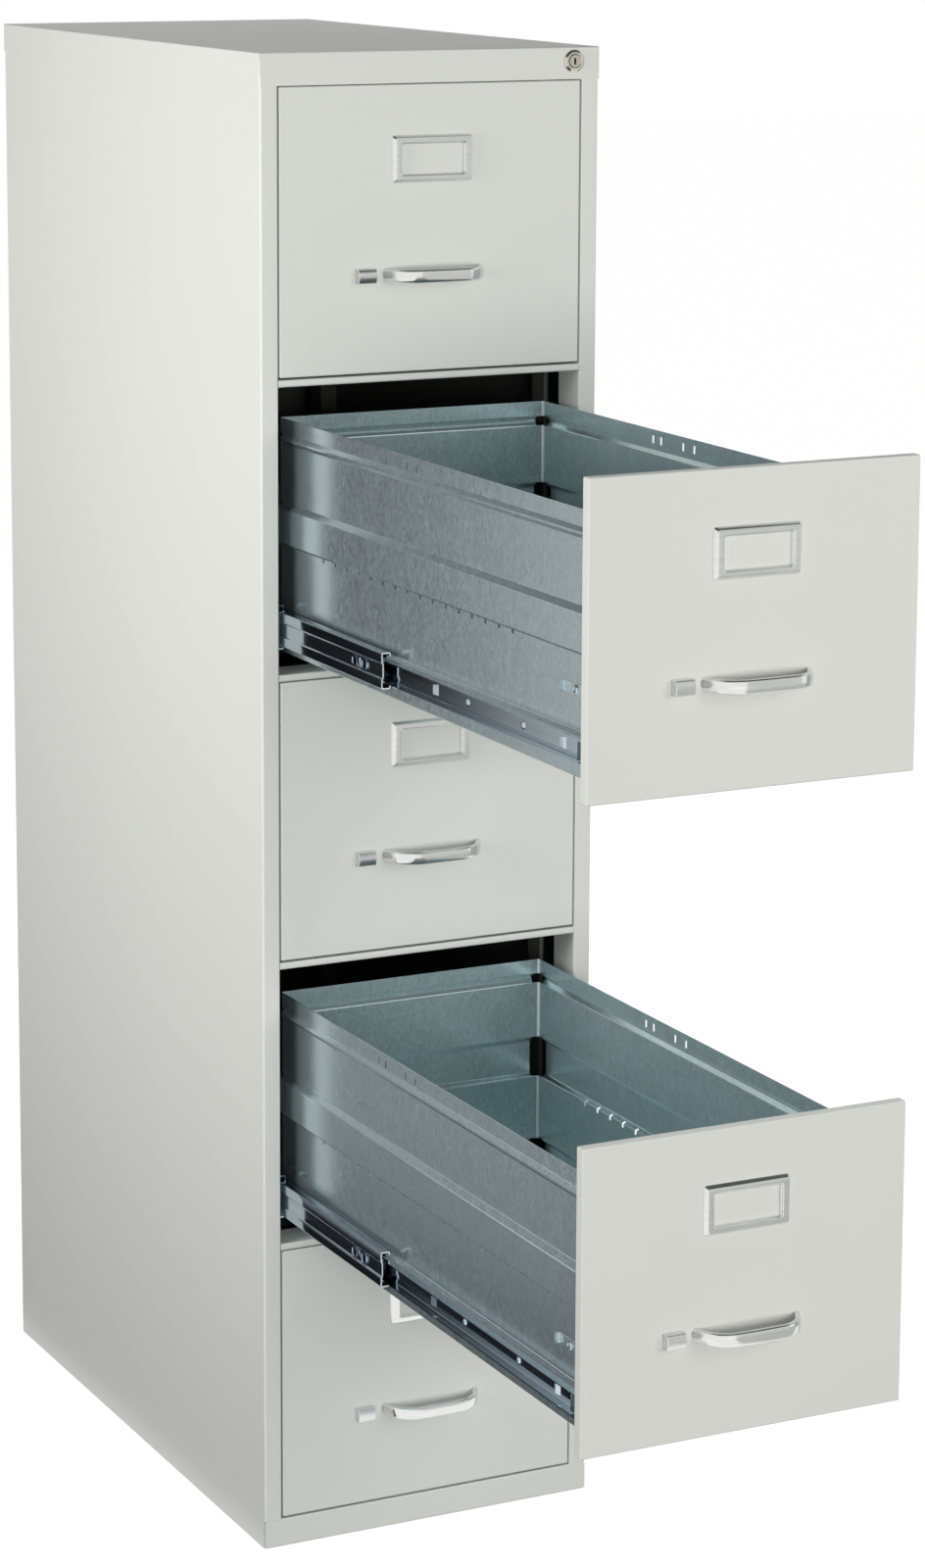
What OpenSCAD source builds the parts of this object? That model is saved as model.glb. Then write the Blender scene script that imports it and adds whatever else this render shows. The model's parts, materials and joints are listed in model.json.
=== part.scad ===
// Five-drawer vertical file of folded sheet steel, with the second and fourth drawers pulled out.
// The origin is the middle of the footprint, on the floor. +X is the right-hand side seen from the
// front, +Y runs to the back and +Z is up. Drawers are numbered from the top. Sizes are in mm.

/* [Case] */
// Width over the top cap
case_w = 381; // [360:1:470]
// Depth over the top cap
case_d = 724; // [680:1:800]
// Thickness of the painted case sheet
case_sheet = 0.9; // [0.7:0.1:1.2]
// Gap between the cap's skirt and the panels inside it
lap_gap = 0.1; // [0.05:0.05:0.3]
// Bend radius of the case sheet, at the middle of the sheet
case_bend = 1.6; // [1:0.1:2.5]
// Width of a front post, from the outside of the cap to the drawer opening
post_w = 20.2; // [19:0.1:26]
// Depth of the post's return into the case
post_return = 45; // [30:1:50]
// Width of the side panel's flange at the back
rear_flange = 15; // [10:1:25]
// Height of the top cap on the front
cap_front_h = 33; // [31:0.5:45]
// Height of the cap's skirt on the sides and back
cap_skirt_h = 31; // [20:0.5:31]
// Depth of the return under the cap's front
cap_return = 24; // [12:1:30]
// Height of the base rail across the front
base_rail_h = 30.3; // [22:0.1:60]
// Depth of the base rail's return
base_return = 20; // [10:1:40]
// Height of the base pan's flange at the back
base_back_h = 20; // [10:1:40]
// Visible height of a cross rail between two drawers
cross_rail_h = 7.3; // [5:0.1:12]
// Depth of a cross rail's shelf
cross_rail_d = 42; // [30:1:60]

/* [Slide uprights] */
// Width of an upright
upright_w = 30; // [20:1:45]
// Gap between the lock bar and the front pair
upright_gap = 5; // [3:0.5:30]
// From the rear pair to the back panel
upright_rear_gap = 49; // [20:1:70]

/* [Drawer fronts] */
// Height of a drawer front
front_h = 290.2; // [285:0.1:320]
// Thickness of a drawer front
front_t = 11; // [10:0.5:16]
// Gap beside a drawer front
side_gap = 1.5; // [0.8:0.1:2.5]
// Gap above a drawer front
top_gap = 1; // [0.8:0.1:2.5]
// Gap below a drawer front
bottom_gap = 2.1; // [0.8:0.1:3]
// Width of the flange round the back of a front
front_flange = 12; // [10:0.5:16]
// From the edge of the front to the edge of its liner
liner_inset = 8.8; // [6:0.1:10]
// How much less than its slides' length an open drawer comes out
travel_short = 2.2; // [0:0.1:350]

/* [Drawer boxes] */
// Thickness of the galvanised box sheet
box_sheet = 0.8; // [0.6:0.1:1]
// Bend radius of the box sheet, at the middle of the sheet
box_bend = 1.2; // [0.8:0.1:2]
// How far the pressed bands stand out from the wall
band_depth = 5.5; // [4:0.1:7]
// Space between the box and the back panel
box_rear_gap = 18; // [10:0.5:40]
// Bottom edge of the box above the bottom of the front
box_low = 17; // [14:0.5:19]
// Top edge of the box above the bottom of the front
box_top = 255.5; // [250:0.5:275]
// Flat height of the lower band, which carries the slide
lower_band_h = 36; // [34:0.5:40]
// Height of the slope above the lower band
lower_slope_h = 4; // [3:0.5:6]
// Height at which the middle band's ledge leaves the wall
ledge_z = 126.5; // [120:0.5:130]
// Rise of the ledge from the wall to the middle band
ledge_h = 2.5; // [1.5:0.5:5]
// Flat height of the middle band
middle_band_h = 35; // [25:0.5:45]
// Height of the slope above the middle band
upper_slope_h = 6; // [4:0.5:9]
// Height of the crest of the stiffening bead
bead_z = 235; // [225:0.5:238]
// Half height of the bead
bead_half_h = 5; // [3:0.5:7]
// How far the bead stands out
bead_depth = 4; // [2:0.5:5]
// Width of the flange that carries the bottom
bottom_flange = 12; // [8:0.5:20]
// Outside radius of the box's upright folds
fold_r = 3; // [2:0.5:6]
// Length of the notches beside a fold
fold_notch = 8.5; // [7:0.5:12]
// Width of the tabs welded to the front's liner
weld_tab = 10; // [6:0.5:14]
// Width of a slot
slot_w = 4; // [3:0.1:5]
// How far a follower slot runs down the wall from the ledge
follower_drop = 4.5; // [3:0.5:10]
// How far a follower slot runs out along the ledge
follower_reach = 3.3; // [2:0.1:3.6]
// Number of follower slots on a side
follower_slots = 16; // [8:1:18]
// Distance between follower slots
follower_pitch = 27.5; // [15:0.5:28]
// From the drawer's face to the first follower slot
follower_start = 175; // [100:1:180]
// From the drawer's face to the first hanging-rail slot
rail_slot_y = 375.5; // [200:0.5:450]
// Height of a hanging-rail slot
rail_slot_h = 8; // [5:0.5:9]
// From the top of the box to the hanging-rail slots
rail_slot_drop = 6; // [4:0.5:6]

/* [Slides] */
// Sheet of the slide members
slide_sheet = 1.2; // [1:0.1:1.4]
// Thickness of the slide from its seat to the drawer
slide_t = 12.7; // [12.7:0.1:14]
// Gap between the post opening and the slide's seat
slide_inset = 1.1; // [0.8:0.1:2]
// Height of the outer member
outer_h = 45.5; // [45.5:0.5:48]
// Height of the middle member
mid_h = 36; // [34:0.5:36]
// Height of the inner member
inner_h = 22; // [20:0.5:22]
// Centre of the slide above the bottom of the front
slide_z = 44.5; // [42:0.5:46]
// From the front plane to the outer and middle members
slide_front = 14; // [12:0.5:30]
// Gap between a drawer's liner and its inner members
inner_gap = 0.2; // [0.1:0.1:3]
// Length of a member's lips
slide_lip = 3.2; // [2.5:0.1:3.4]
// Running gap between the webs of two members
race_gap = 0.6; // [0.4:0.05:0.7]
// How much shorter the middle member is than the outer
mid_short = 57; // [40:1:150]
// How much shorter the inner member is than the outer
inner_short = 17; // [10:1:40]
// Part of a drawer's travel that the middle member makes
mid_share = 0.38; // [0.3:0.01:0.5]
// Radius of the two access holes near a middle member's front end
access_r = 5; // [3:0.5:6]
// From that end to the first access hole
access_y = 40; // [20:1:100]
// Distance between the access holes
access_pitch = 22; // [14:1:40]
// Radius of the two holes in an inner member
inner_hole_r = 3; // [2:0.5:4]
// From the inner member's front end to its first hole
inner_hole_y = 130; // [60:1:200]
// Distance between the inner member's holes
inner_hole_pitch = 112; // [60:1:200]

/* [Pull and label frame] */
// Distance between the middles of the pull's feet
pull_feet = 107; // [90:1:128]
// Distance between the pull's two bends
pull_bar = 80; // [50:1:84]
// How far the pull stands out, to its outside
pull_out = 30; // [24:1:45]
// Height of the pull's bar
pull_h = 13.7; // [10:0.1:20]
// Thickness of the pull's bar
pull_t = 6; // [5:0.5:9]
// Rounding of the bar's edges
pull_edge_r = 2.2; // [1:0.1:2.4]
// Bend radius of the pull, at the middle of the bar
pull_bend = 14; // [10:0.5:18]
// Height of the pull above the bottom of the front
pull_z = 99; // [85:0.5:103]
// Offset of the pull to the right of the middle
pull_x = 2; // [0:0.5:20]
// Radius of the pull's screws
pull_screw_r = 2; // [1.5:0.1:2.2]
// Width of the label frame
label_w = 90; // [70:1:120]
// Height of the label frame
label_h = 47.5; // [40:0.5:60]
// How far the label frame stands out
label_t = 4.5; // [3:0.1:6]
// Width of the frame's sloping side
label_bevel = 2.6; // [1:0.1:4]
// Width of the frame's rim
label_rim = 8; // [6:0.5:10]
// From the top of the front to the middle of the frame
label_drop = 75; // [60:0.5:110]

/* [Thumb latch] */
// Width of the thumb piece
thumb_w = 20; // [16:0.5:22]
// Height of the thumb piece
thumb_h = 14.3; // [10:0.1:18]
// How far the thumb piece stands out
thumb_t = 10; // [6:0.5:14]
// Gap between the pull and the thumb piece when it is pushed across
thumb_gap = 2.6; // [1:0.1:8]
// How far the latch slides
latch_travel = 8; // [4:0.5:8]
// Thickness of the latch bar
latch_t = 2; // [1.5:0.1:2.5]
// Height of the latch bar
latch_h = 10; // [6:0.5:11]
// Gap between the latch and what it slides past
latch_gap = 0.4; // [0.2:0.1:0.8]
// From the post's rear edge to the hook
hook_back = 4; // [2:0.5:10]
// Gap that lets the hook pass the post
hook_gap = 1.1; // [0.6:0.1:2]

/* [Lock] */
// From the outside of the case to the lock's axis
lock_inset = 30; // [29.8:0.1:45]
// From the top of the cap to the lock's axis
lock_drop = 14.5; // [14:0.1:15.5]
// Radius of the lock's body
lock_body_r = 9.5; // [8:0.1:9.5]
// Radius of the lock's flange
lock_flange_r = 11.5; // [11:0.1:13]
// Thickness of the lock's flange
lock_flange_t = 3; // [2:0.1:5]
// Radius of the turning plug
plug_r = 6.3; // [5:0.1:6.5]
// Gap round the plug and the bar
lock_gap = 0.3; // [0.2:0.05:0.5]
// Gap in front of and behind the cam
cam_gap = 1.5; // [1:0.1:3]
// Radius of the circle that the cam's peg moves on
peg_throw = 10; // [8:0.5:10]
// Radius of the cam's peg
peg_r = 2; // [1.5:0.1:2.5]
// Height of play that the peg has in the bar's slot
peg_play = 0.5; // [0.4:0.1:1]
// Thickness of the lock's bar, cam and fingers
lock_plate = 2; // [1.5:0.1:2.5]
// Depth of the lock bar
lock_bar_d = 20; // [12:0.5:21]
// Height of a lock finger and of its catch
finger_h = 12; // [10:0.5:12.5]
// Height of the catch above the bottom of the front
catch_z = 100; // [90:0.5:112]
// Gap between a raised finger and its catch
catch_gap = 4; // [2:0.5:6]
// Gap between a lowered finger and its catch
finger_gap = 2; // [1:0.1:2]
// Gap between a finger and the drawer's bands
finger_side_gap = 1.5; // [1:0.1:3]
// How far the catch stands out from the box
catch_out = 14; // [9:0.5:15]

/* [Glides] */
// Radius of a levelling glide
glide_r = 6; // [4:0.5:9]
// From the corner of the case to a glide, both ways
glide_inset = 40; // [25:1:60]

/* [Hidden] */
drawers = 5;
KINDS = [
    "front", "box", "bottom", "pull", "label_frame",
    "inner_slides", "middle_slides", "thumb_latch", "latch_bar"
];
// Share of its travel that each drawer is pulled out, from the top
pulled = [0, 1, 0, 1, 0];
paint = "gainsboro";
galvanised = "lightslategray";
zinc = "slategray";
bright = "silver";
nickel = "darkgray";
// Flats that stand for a bend's curve in the case, the box and the pull
case_steps = 3;
box_steps = 1;
pull_steps = 6;
// Cuts run this far past the faces that they open
past = 1;

// Stack of drawers between the base rail and the cap
opening_h = front_h + top_gap + bottom_gap;
drawer_pitch = opening_h + cross_rail_h;
case_h = base_rail_h + drawers * opening_h + (drawers - 1) * cross_rail_h + cap_front_h;
function front_z(n) = base_rail_h + bottom_gap + (drawers - n) * drawer_pitch;
function drawn(n) = pulled[n - 1] * travel;

// Panels inside the cap
lap = case_sheet + lap_gap;
panel_x = case_w / 2 - lap;
panel_front = lap - case_d / 2;
panel_back = case_d / 2 - lap;
inside_x = panel_x - case_sheet;
inside_top = case_h - case_sheet;
opening_x = case_w / 2 - post_w;
back_face = panel_back - 2 * case_sheet;
inside_d = back_face - panel_front;
post_rear = panel_front + post_return;
// What lies in a bend stays clear of its curve
case_bend_in = case_bend - case_sheet / 2;
box_bend_in = box_bend - box_sheet / 2;

// Drawer fronts, boxes and slides, out from the middle plane
face_x = opening_x - side_gap;
liner_x = face_x - liner_inset;
seat_x = opening_x - slide_inset;
band_x = seat_x - slide_t;
wall_x = band_x - band_depth;

// Heights of the box's wall above the bottom of the front
lower_band_top = box_low + lower_band_h;
lower_slope_top = lower_band_top + lower_slope_h;
band_low = ledge_z + ledge_h;
band_top = band_low + middle_band_h;
band_slope_top = band_top + upper_slope_h;
bead_low = bead_z - bead_half_h;
bead_high = bead_z + bead_half_h;
plain_zones = [[lower_slope_top, ledge_z], [band_slope_top, bead_low], [bead_high, box_top]];
pressed_zones = [[box_low - past, lower_slope_top], [ledge_z, band_slope_top], [bead_low, bead_high]];

// Depths of the box behind the drawer's face
liner_back = front_t + box_sheet;
box_back = inside_d - box_rear_gap - band_depth;
fold_y = box_back - fold_r;
// Hanging-rail slots for two widths of folder, from the first slot
rail_slot_steps = [0, 22, 66.5, 82.5];

// Slides behind the front plane
rear_upright_back = inside_d - upright_rear_gap;
outer_len = rear_upright_back - slide_front;
travel = outer_len - travel_short;
mid_len = outer_len - mid_short;
inner_len = outer_len - inner_short;
inner_front = liner_back + inner_gap;

// The pull's feet are cut square to the drawer's face, where its sloping legs are wider
pull_bar_y = pull_t / 2 - pull_out;
pull_leg = [(pull_feet - pull_bar) / 2, -pull_bar_y];
pull_foot_w = pull_t * norm(pull_leg) / pull_leg[1];

// Latch and lock behind the front plane
latch_z = pull_z;
thumb_x = (pull_feet + pull_foot_w + thumb_w) / 2 - pull_x + thumb_gap + latch_travel;
latch_arm_x = (liner_x + face_x - case_sheet) / 2;
hook_y = post_return + hook_back + latch_t / 2;
cam_y = post_return + cam_gap;
bar_y = cam_y + lock_plate + cam_gap;
catch_y = bar_y + lock_plate + catch_gap;
upright_front = bar_y + lock_bar_d + upright_gap;
lock_x = case_w / 2 - lock_inset;
lock_z = case_h - lock_drop;
bar_x = opening_x + case_sheet + lock_gap;
peg_dx = peg_throw * cos(45);
finger_z = catch_z - finger_h - finger_gap;

// Folded sheet: a strip of even thickness along a path in a plane, with its corners bent to a radius.
// Each sample is a point on the middle of the strip and the direction square to it.
function unit(v) = v / norm(v);
function square_to(d) = [-d[1], d[0]];
function turned(v, a) = [v[0] * cos(a) - v[1] * sin(a), v[0] * sin(a) + v[1] * cos(a)];
function turn_between(a, b) = atan2(a[0] * b[1] - a[1] * b[0], a * b);
function end_sample(p, q, at) = [at, square_to(unit(q - p))];
function bend_samples(a, b, c, r, steps) =
    let (
        way = unit(b - a),
        turn = turn_between(way, unit(c - b)),
        side = sign(turn),
        start = b - way * r * tan(abs(turn) / 2),
        middle = start + square_to(way) * r * side
    )
    [
        for (k = [0:steps])
            let (out = turned(square_to(way), turn * k / steps))
            [middle - out * r * side, out]
    ];
function samples(path, r, steps) =
    let (last = len(path) - 1)
    concat(
        [end_sample(path[0], path[1], path[0])],
        [for (i = [1:last - 1]) each bend_samples(path[i - 1], path[i], path[i + 1], r, steps)],
        [end_sample(path[last - 1], path[last], path[last])]
    );
function folded(path, t, r, steps = case_steps) =
    let (line = samples(path, r, steps))
    concat(
        [for (s = line) s[0] + s[1] * t / 2],
        [for (i = [len(line) - 1:-1:0]) line[i][0] - line[i][1] * t / 2]
    );
function rounded(w, h, r) =
    [
        for (corner = [0:3])
            for (k = [0:case_steps])
                let (a = 90 * corner + 90 * k / case_steps)
                [
                    (w / 2 - r) * ((corner == 0 || corner == 3) ? 1 : -1) + r * cos(a),
                    (h / 2 - r) * (corner < 2 ? 1 : -1) + r * sin(a)
                ]
    ];

// A section drawn in (x, z), run along Y between two depths
module along_y(y0, y1) translate([0, y1, 0]) rotate([90, 0, 0]) linear_extrude(y1 - y0) children();
// A section drawn in (y, z), run along X between two places
module along_x(x0, x1) translate([x0, 0, 0]) rotate([90, 0, 90]) linear_extrude(x1 - x0) children();
// A block between two corners
module block(low, high) translate(low) cube(high - low);
// A cylinder along Y between two depths
module rod(x, z, r, y0, y1) translate([x, y1, z]) rotate([90, 0, 0]) cylinder(r = r, h = y1 - y0, $fn = 48);
// Both sides of the middle plane
module both_sides() for (side = [0, 1]) mirror([side, 0, 0]) children();
// The place of a drawer, with its face at y 0 and the bottom of its front at z 0
module at_drawer(n) translate([0, panel_front - drawn(n), front_z(n)]) children();

module side_panel() {
    sheet_x = panel_x - case_sheet / 2;
    front_y = panel_front + case_sheet / 2;
    back_y = panel_back - case_sheet / 2;
    return_x = opening_x + case_sheet / 2;
    path = [
        [return_x, post_rear], [return_x, front_y], [sheet_x, front_y],
        [sheet_x, back_y], [panel_x - rear_flange, back_y]
    ];
    difference() {
        linear_extrude(inside_top) polygon(folded(path, case_sheet, case_bend));
        block(
            [opening_x - past, panel_front - past, -past],
            [inside_x, post_rear + past, base_rail_h]
        );
        block(
            [opening_x - past, panel_front - past, -past],
            [panel_x + past, panel_front + lap + case_bend, base_rail_h]
        );
    }
}

module left_side_panel() color(paint) mirror([1, 0, 0]) side_panel();
module right_side_panel() color(paint) side_panel();

module back_panel() color(paint) {
    half_x = inside_x - case_bend_in - lap_gap;
    block([-half_x, back_face, case_sheet], [half_x, back_face + case_sheet, inside_top]);
}

module top_cap() color(paint) {
    low = case_h - cap_front_h;
    skirt_low = case_h - cap_skirt_h;
    half_x = case_w / 2;
    half_y = case_d / 2;
    edge = case_bend + case_sheet / 2;
    tall = 2 * cap_front_h;
    difference() {
        intersection() {
            along_y(-half_y, half_y) translate([0, low]) polygon(rounded(case_w, tall, edge));
            along_x(-half_x, half_x) translate([0, low]) polygon(rounded(case_d, tall, edge));
            translate([0, 0, low]) linear_extrude(cap_front_h) polygon(rounded(case_w, case_d, edge));
        }
        block(
            [-half_x + case_sheet, -half_y + case_sheet, low - past],
            [half_x - case_sheet, half_y - case_sheet, inside_top]
        );
        block(
            [-half_x - past, panel_front + past, low - past],
            [half_x + past, half_y + past, skirt_low]
        );
        rod(lock_x, lock_z, lock_body_r + lock_gap, -half_y - past, panel_front + past);
    }
    block(
        [lap_gap - opening_x, -half_y + case_sheet, low],
        [opening_x - lap_gap, panel_front + cap_return, low + case_sheet]
    );
}

module base_pan() color(paint) {
    mid = case_sheet / 2;
    path = [
        [back_face - lap_gap - mid, base_back_h],
        [back_face - lap_gap - mid, mid],
        [panel_front + mid, mid],
        [panel_front + mid, base_rail_h - mid],
        [panel_front + base_return, base_rail_h - mid]
    ];
    difference() {
        union() {
            along_x(lap_gap - inside_x, inside_x - lap_gap) polygon(folded(path, case_sheet, case_bend));
            block(
                [-panel_x, panel_front, case_bend],
                [panel_x, panel_front + case_sheet, base_rail_h - case_bend]
            );
            // The rail's top return carries the feet of the two posts
            block(
                [-panel_x, panel_front + case_bend, base_rail_h - case_sheet],
                [panel_x, panel_front + lap + case_bend, base_rail_h]
            );
        }
        for (x = [-1, 1])
            for (y = [-1, 1])
                translate([x * (case_w / 2 - glide_inset), y * (case_d / 2 - glide_inset), -past])
                    cylinder(r = glide_r + lap_gap, h = case_sheet + 2 * past, $fn = 48);
    }
}

module cross_rails() color(paint) for (k = [1:drawers - 1]) {
    top = base_rail_h + k * drawer_pitch;
    mid = case_sheet / 2;
    path = [
        [panel_front + cross_rail_d / 3, top - cross_rail_h + mid],
        [panel_front + mid, top - cross_rail_h + mid],
        [panel_front + mid, top - mid],
        [panel_front + cross_rail_d, top - mid]
    ];
    along_x(-opening_x, opening_x) polygon(folded(path, case_sheet, case_bend));
}

module slide_uprights() color(zinc) {
    fronts = [panel_front + upright_front, panel_front + rear_upright_back - upright_w];
    both_sides() for (y = fronts) {
        mid = case_sheet / 2;
        path = [
            [inside_x, y + mid], [seat_x + mid, y + mid],
            [seat_x + mid, y + upright_w - mid], [inside_x, y + upright_w - mid]
        ];
        translate([0, 0, case_sheet]) linear_extrude(inside_top - case_sheet)
            polygon(folded(path, case_sheet, case_bend));
    }
}

// Slide sections: x runs from the seat towards the drawer and z from the slide's middle
module outer_section() {
    mid = slide_sheet / 2;
    high = outer_h / 2 - mid;
    lip_x = slide_t - slide_sheet - 2 * race_gap - mid;
    path = [
        [lip_x, high - slide_lip], [lip_x, high], [mid, high],
        [mid, -high], [lip_x, -high], [lip_x, slide_lip - high]
    ];
    polygon(folded(path, slide_sheet, slide_sheet));
}

module mid_section() {
    mid = slide_sheet / 2;
    high = mid_h / 2 - mid;
    web_x = slide_sheet + race_gap + mid;
    rib_x = web_x + slide_sheet;
    lip_x = slide_t - slide_sheet - mid;
    rib = inner_h / 2 - 2.5 * slide_sheet;
    path = [
        [lip_x, high - slide_lip], [lip_x, high], [web_x, high],
        [web_x, rib], [rib_x, rib - slide_sheet], [rib_x, slide_sheet - rib], [web_x, -rib],
        [web_x, -high], [lip_x, -high], [lip_x, slide_lip - high]
    ];
    polygon(folded(path, slide_sheet, slide_sheet));
}

module inner_section() {
    mid = slide_sheet / 2;
    high = inner_h / 2 - mid;
    web_x = slide_t - mid;
    // The flanges stop just short of the middle member's web
    tip_x = 2 * slide_sheet + 1.5 * race_gap;
    path = [[tip_x, high], [web_x, high], [web_x, -high], [tip_x, -high]];
    polygon(folded(path, slide_sheet, slide_sheet));
}

// A pair of slide members of one section, at their seats, in the drawer's frame
module slide_pair(y0, y1) both_sides()
    translate([-seat_x, 0, slide_z]) along_y(y0, y1) children();

module outer_slides() color(zinc) for (n = [1:drawers])
    translate([0, panel_front, front_z(n)])
        slide_pair(slide_front, slide_front + outer_len) outer_section();

module middle_slides(n) color(zinc)
    translate([0, panel_front - mid_share * drawn(n), front_z(n)]) difference() {
        slide_pair(slide_front, slide_front + mid_len) mid_section();
        both_sides() for (k = [0, 1])
            translate([-seat_x, slide_front + access_y + k * access_pitch, slide_z]) rotate([0, 90, 0])
                cylinder(r = access_r, h = slide_t / 2, $fn = 32);
    }

module inner_slides(n) color(zinc) at_drawer(n) difference() {
    slide_pair(inner_front, inner_front + inner_len) inner_section();
    both_sides() for (k = [0, 1])
        translate([-band_x - slide_t / 2, inner_front + inner_hole_y + k * inner_hole_pitch, slide_z])
            rotate([0, 90, 0]) cylinder(r = inner_hole_r, h = slide_t, $fn = 32);
}

module levelling_glides() color("dimgray")
    for (x = [-1, 1])
        for (y = [-1, 1])
            translate([x * (case_w / 2 - glide_inset), y * (case_d / 2 - glide_inset), 0]) {
                cylinder(r = glide_r, h = case_sheet + past, $fn = 48);
                translate([0, 0, case_sheet]) cylinder(r = 1.5 * glide_r, h = glide_r, $fn = 6);
                cylinder(r = 0.6 * glide_r, h = 4 * glide_r, $fn = 48);
            }

module drawer_front(n) color(paint) at_drawer(n) {
    slot_low = latch_z - latch_h / 2 - latch_gap;
    slot_high = latch_z + latch_h / 2 + latch_gap;
    difference() {
        block([-face_x, 0, 0], [face_x, front_t, front_h]);
        block(
            [case_sheet - face_x, case_sheet, case_sheet],
            [face_x - case_sheet, front_t - case_sheet, front_h - case_sheet]
        );
        block(
            [front_flange - face_x, case_sheet, front_flange],
            [face_x - front_flange, front_t + past, front_h - front_flange]
        );
        // Way for the latch arm through the flange, for the thumb piece's stem and for the pull's screws
        block([case_sheet - face_x, case_sheet, slot_low], [-wall_x, front_t + past, slot_high]);
        block(
            [-thumb_x - thumb_w / 2 + latch_gap, -past, latch_z - thumb_h / 4 - latch_gap],
            [-thumb_x + latch_gap + latch_travel, case_sheet + past, latch_z + thumb_h / 4 + latch_gap]
        );
        for (side = [-1, 1])
            rod(pull_x + side * pull_feet / 2, pull_z, pull_screw_r + lap_gap, -past, case_sheet + past);
    }
    difference() {
        block([-liner_x, front_t, liner_inset], [liner_x, liner_back, front_h - liner_inset]);
        block([-liner_x - past, front_t - past, slot_low], [-wall_x, liner_back + past, slot_high]);
    }
}

// The box's wall in section: x stands out from the wall's outer face, z is up from the front's bottom
module wall_section() {
    mid = box_sheet / 2;
    out = band_depth - mid;
    path = [
        [-bottom_flange, box_low + mid], [out, box_low + mid],
        [out, lower_band_top], [-mid, lower_slope_top],
        [-mid, ledge_z], [out, band_low], [out, band_top], [-mid, band_slope_top],
        [-mid, bead_low], [bead_depth - mid, bead_z], [-mid, bead_high],
        [-mid, box_top]
    ];
    polygon(folded(path, box_sheet, box_bend, box_steps));
}

module drawer_box(n) color(galvanised) at_drawer(n) {
    difference() {
        union() {
            both_sides() {
                translate([wall_x, 0, 0]) along_y(liner_back, fold_y) wall_section();
                for (zone = plain_zones) {
                    // Upright fold at the rear corner
                    translate([wall_x - fold_r, fold_y, zone[0]]) intersection() {
                        difference() {
                            cylinder(r = fold_r, h = zone[1] - zone[0], $fn = 48);
                            translate([0, 0, -past])
                                cylinder(r = fold_r - box_sheet, h = zone[1] - zone[0] + 2 * past, $fn = 48);
                        }
                        cube([fold_r, fold_r, zone[1] - zone[0]]);
                    }
                    // Tab welded to the front's liner
                    block(
                        [wall_x - box_sheet - weld_tab, liner_back, zone[0]],
                        [wall_x - box_sheet / 2, liner_back + box_sheet, zone[1]]
                    );
                }
            }
            translate([0, box_back, 0]) along_x(fold_r - wall_x, wall_x - fold_r) wall_section();
        }
        both_sides() {
            // Notches where the pressed bands meet the folds
            for (zone = pressed_zones)
                block(
                    [wall_x - fold_notch, box_back - fold_notch, zone[0]],
                    [band_x + past, box_back + band_depth + past, zone[1]]
                );
            block(
                [wall_x - past, liner_back - past, ledge_z],
                [band_x + past, liner_back + fold_notch, band_slope_top]
            );
            // Slots for a follower, along the ledge
            for (k = [0:follower_slots - 1])
                block(
                    [wall_x - past, follower_start + k * follower_pitch, ledge_z - follower_drop],
                    [wall_x + follower_reach, follower_start + k * follower_pitch + slot_w, band_low + past]
                );
            // Slots for hanging rails, along the top
            for (step = rail_slot_steps)
                block(
                    [wall_x - 2 * past, rail_slot_y + step, box_top - rail_slot_drop - rail_slot_h],
                    [wall_x + past, rail_slot_y + step + slot_w, box_top - rail_slot_drop]
                );
        }
    }
    // Catch for the lock finger, spot-welded on the right-hand wall
    block(
        [wall_x + lap_gap, catch_y, catch_z],
        [wall_x + lap_gap + lock_plate, catch_y + lock_bar_d, catch_z + finger_h]
    );
    block(
        [wall_x + lap_gap + lock_plate / 2, catch_y, catch_z],
        [wall_x + catch_out, catch_y + lock_plate, catch_z + finger_h]
    );
}

module drawer_bottom(n) color(galvanised) at_drawer(n) difference() {
    seat = box_low + box_sheet;
    side = band_x - box_sheet - box_bend_in - lap_gap;
    rear = box_back + band_depth - box_sheet - box_bend_in - lap_gap;
    block([-side, liner_back, seat], [side, rear, seat + box_sheet]);
    both_sides() block(
        [wall_x - fold_notch - past, box_back - fold_notch - past, seat - past],
        [band_x, rear + past, seat + box_sheet + past]
    );
}

// A bar of one section run along samples in plan, closed at both ends
module swept_bar(line, section) {
    size = len(section);
    last = len(line) - 1;
    points = [
        for (s = line)
            for (p = section)
                [s[0][0] + s[1][0] * p[0], s[0][1] + s[1][1] * p[0], p[1]]
    ];
    sides = [
        for (i = [0:last - 1])
            for (j = [0:size - 1])
                let (next = (j + 1) % size)
                [i * size + j, (i + 1) * size + j, (i + 1) * size + next, i * size + next]
    ];
    start = [for (j = [0:size - 1]) j];
    end = [for (j = [size - 1:-1:0]) last * size + j];
    polyhedron(points, concat([start], sides, [end]));
}

module drawer_pull(n) color(bright) at_drawer(n) translate([pull_x, 0, pull_z]) {
    middle = [0, pull_bar_y];
    bend = [pull_bar / 2, pull_bar_y];
    foot = [pull_feet / 2, 0];
    right = concat(
        [[middle, [0, 1]]],
        bend_samples(middle, bend, foot, pull_bend, pull_steps),
        [[foot, [-pull_foot_w / pull_t, 0]]]
    );
    left = [for (i = [len(right) - 1:-1:1]) [for (v = right[i]) [-v[0], v[1]]]];
    difference() {
        swept_bar(concat(left, right), rounded(pull_t, pull_h, pull_edge_r));
        for (side = [-1, 1])
            rod(side * foot[0], 0, pull_screw_r + lap_gap, -pull_t, past);
    }
    // Screws from inside the front
    for (side = [-1, 1]) {
        rod(side * pull_feet / 2, 0, pull_screw_r, lap_gap - pull_t, case_sheet + past);
        rod(side * pull_feet / 2, 0, 1.9 * pull_screw_r, case_sheet, case_sheet + 1.3 * pull_screw_r);
    }
}

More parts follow.
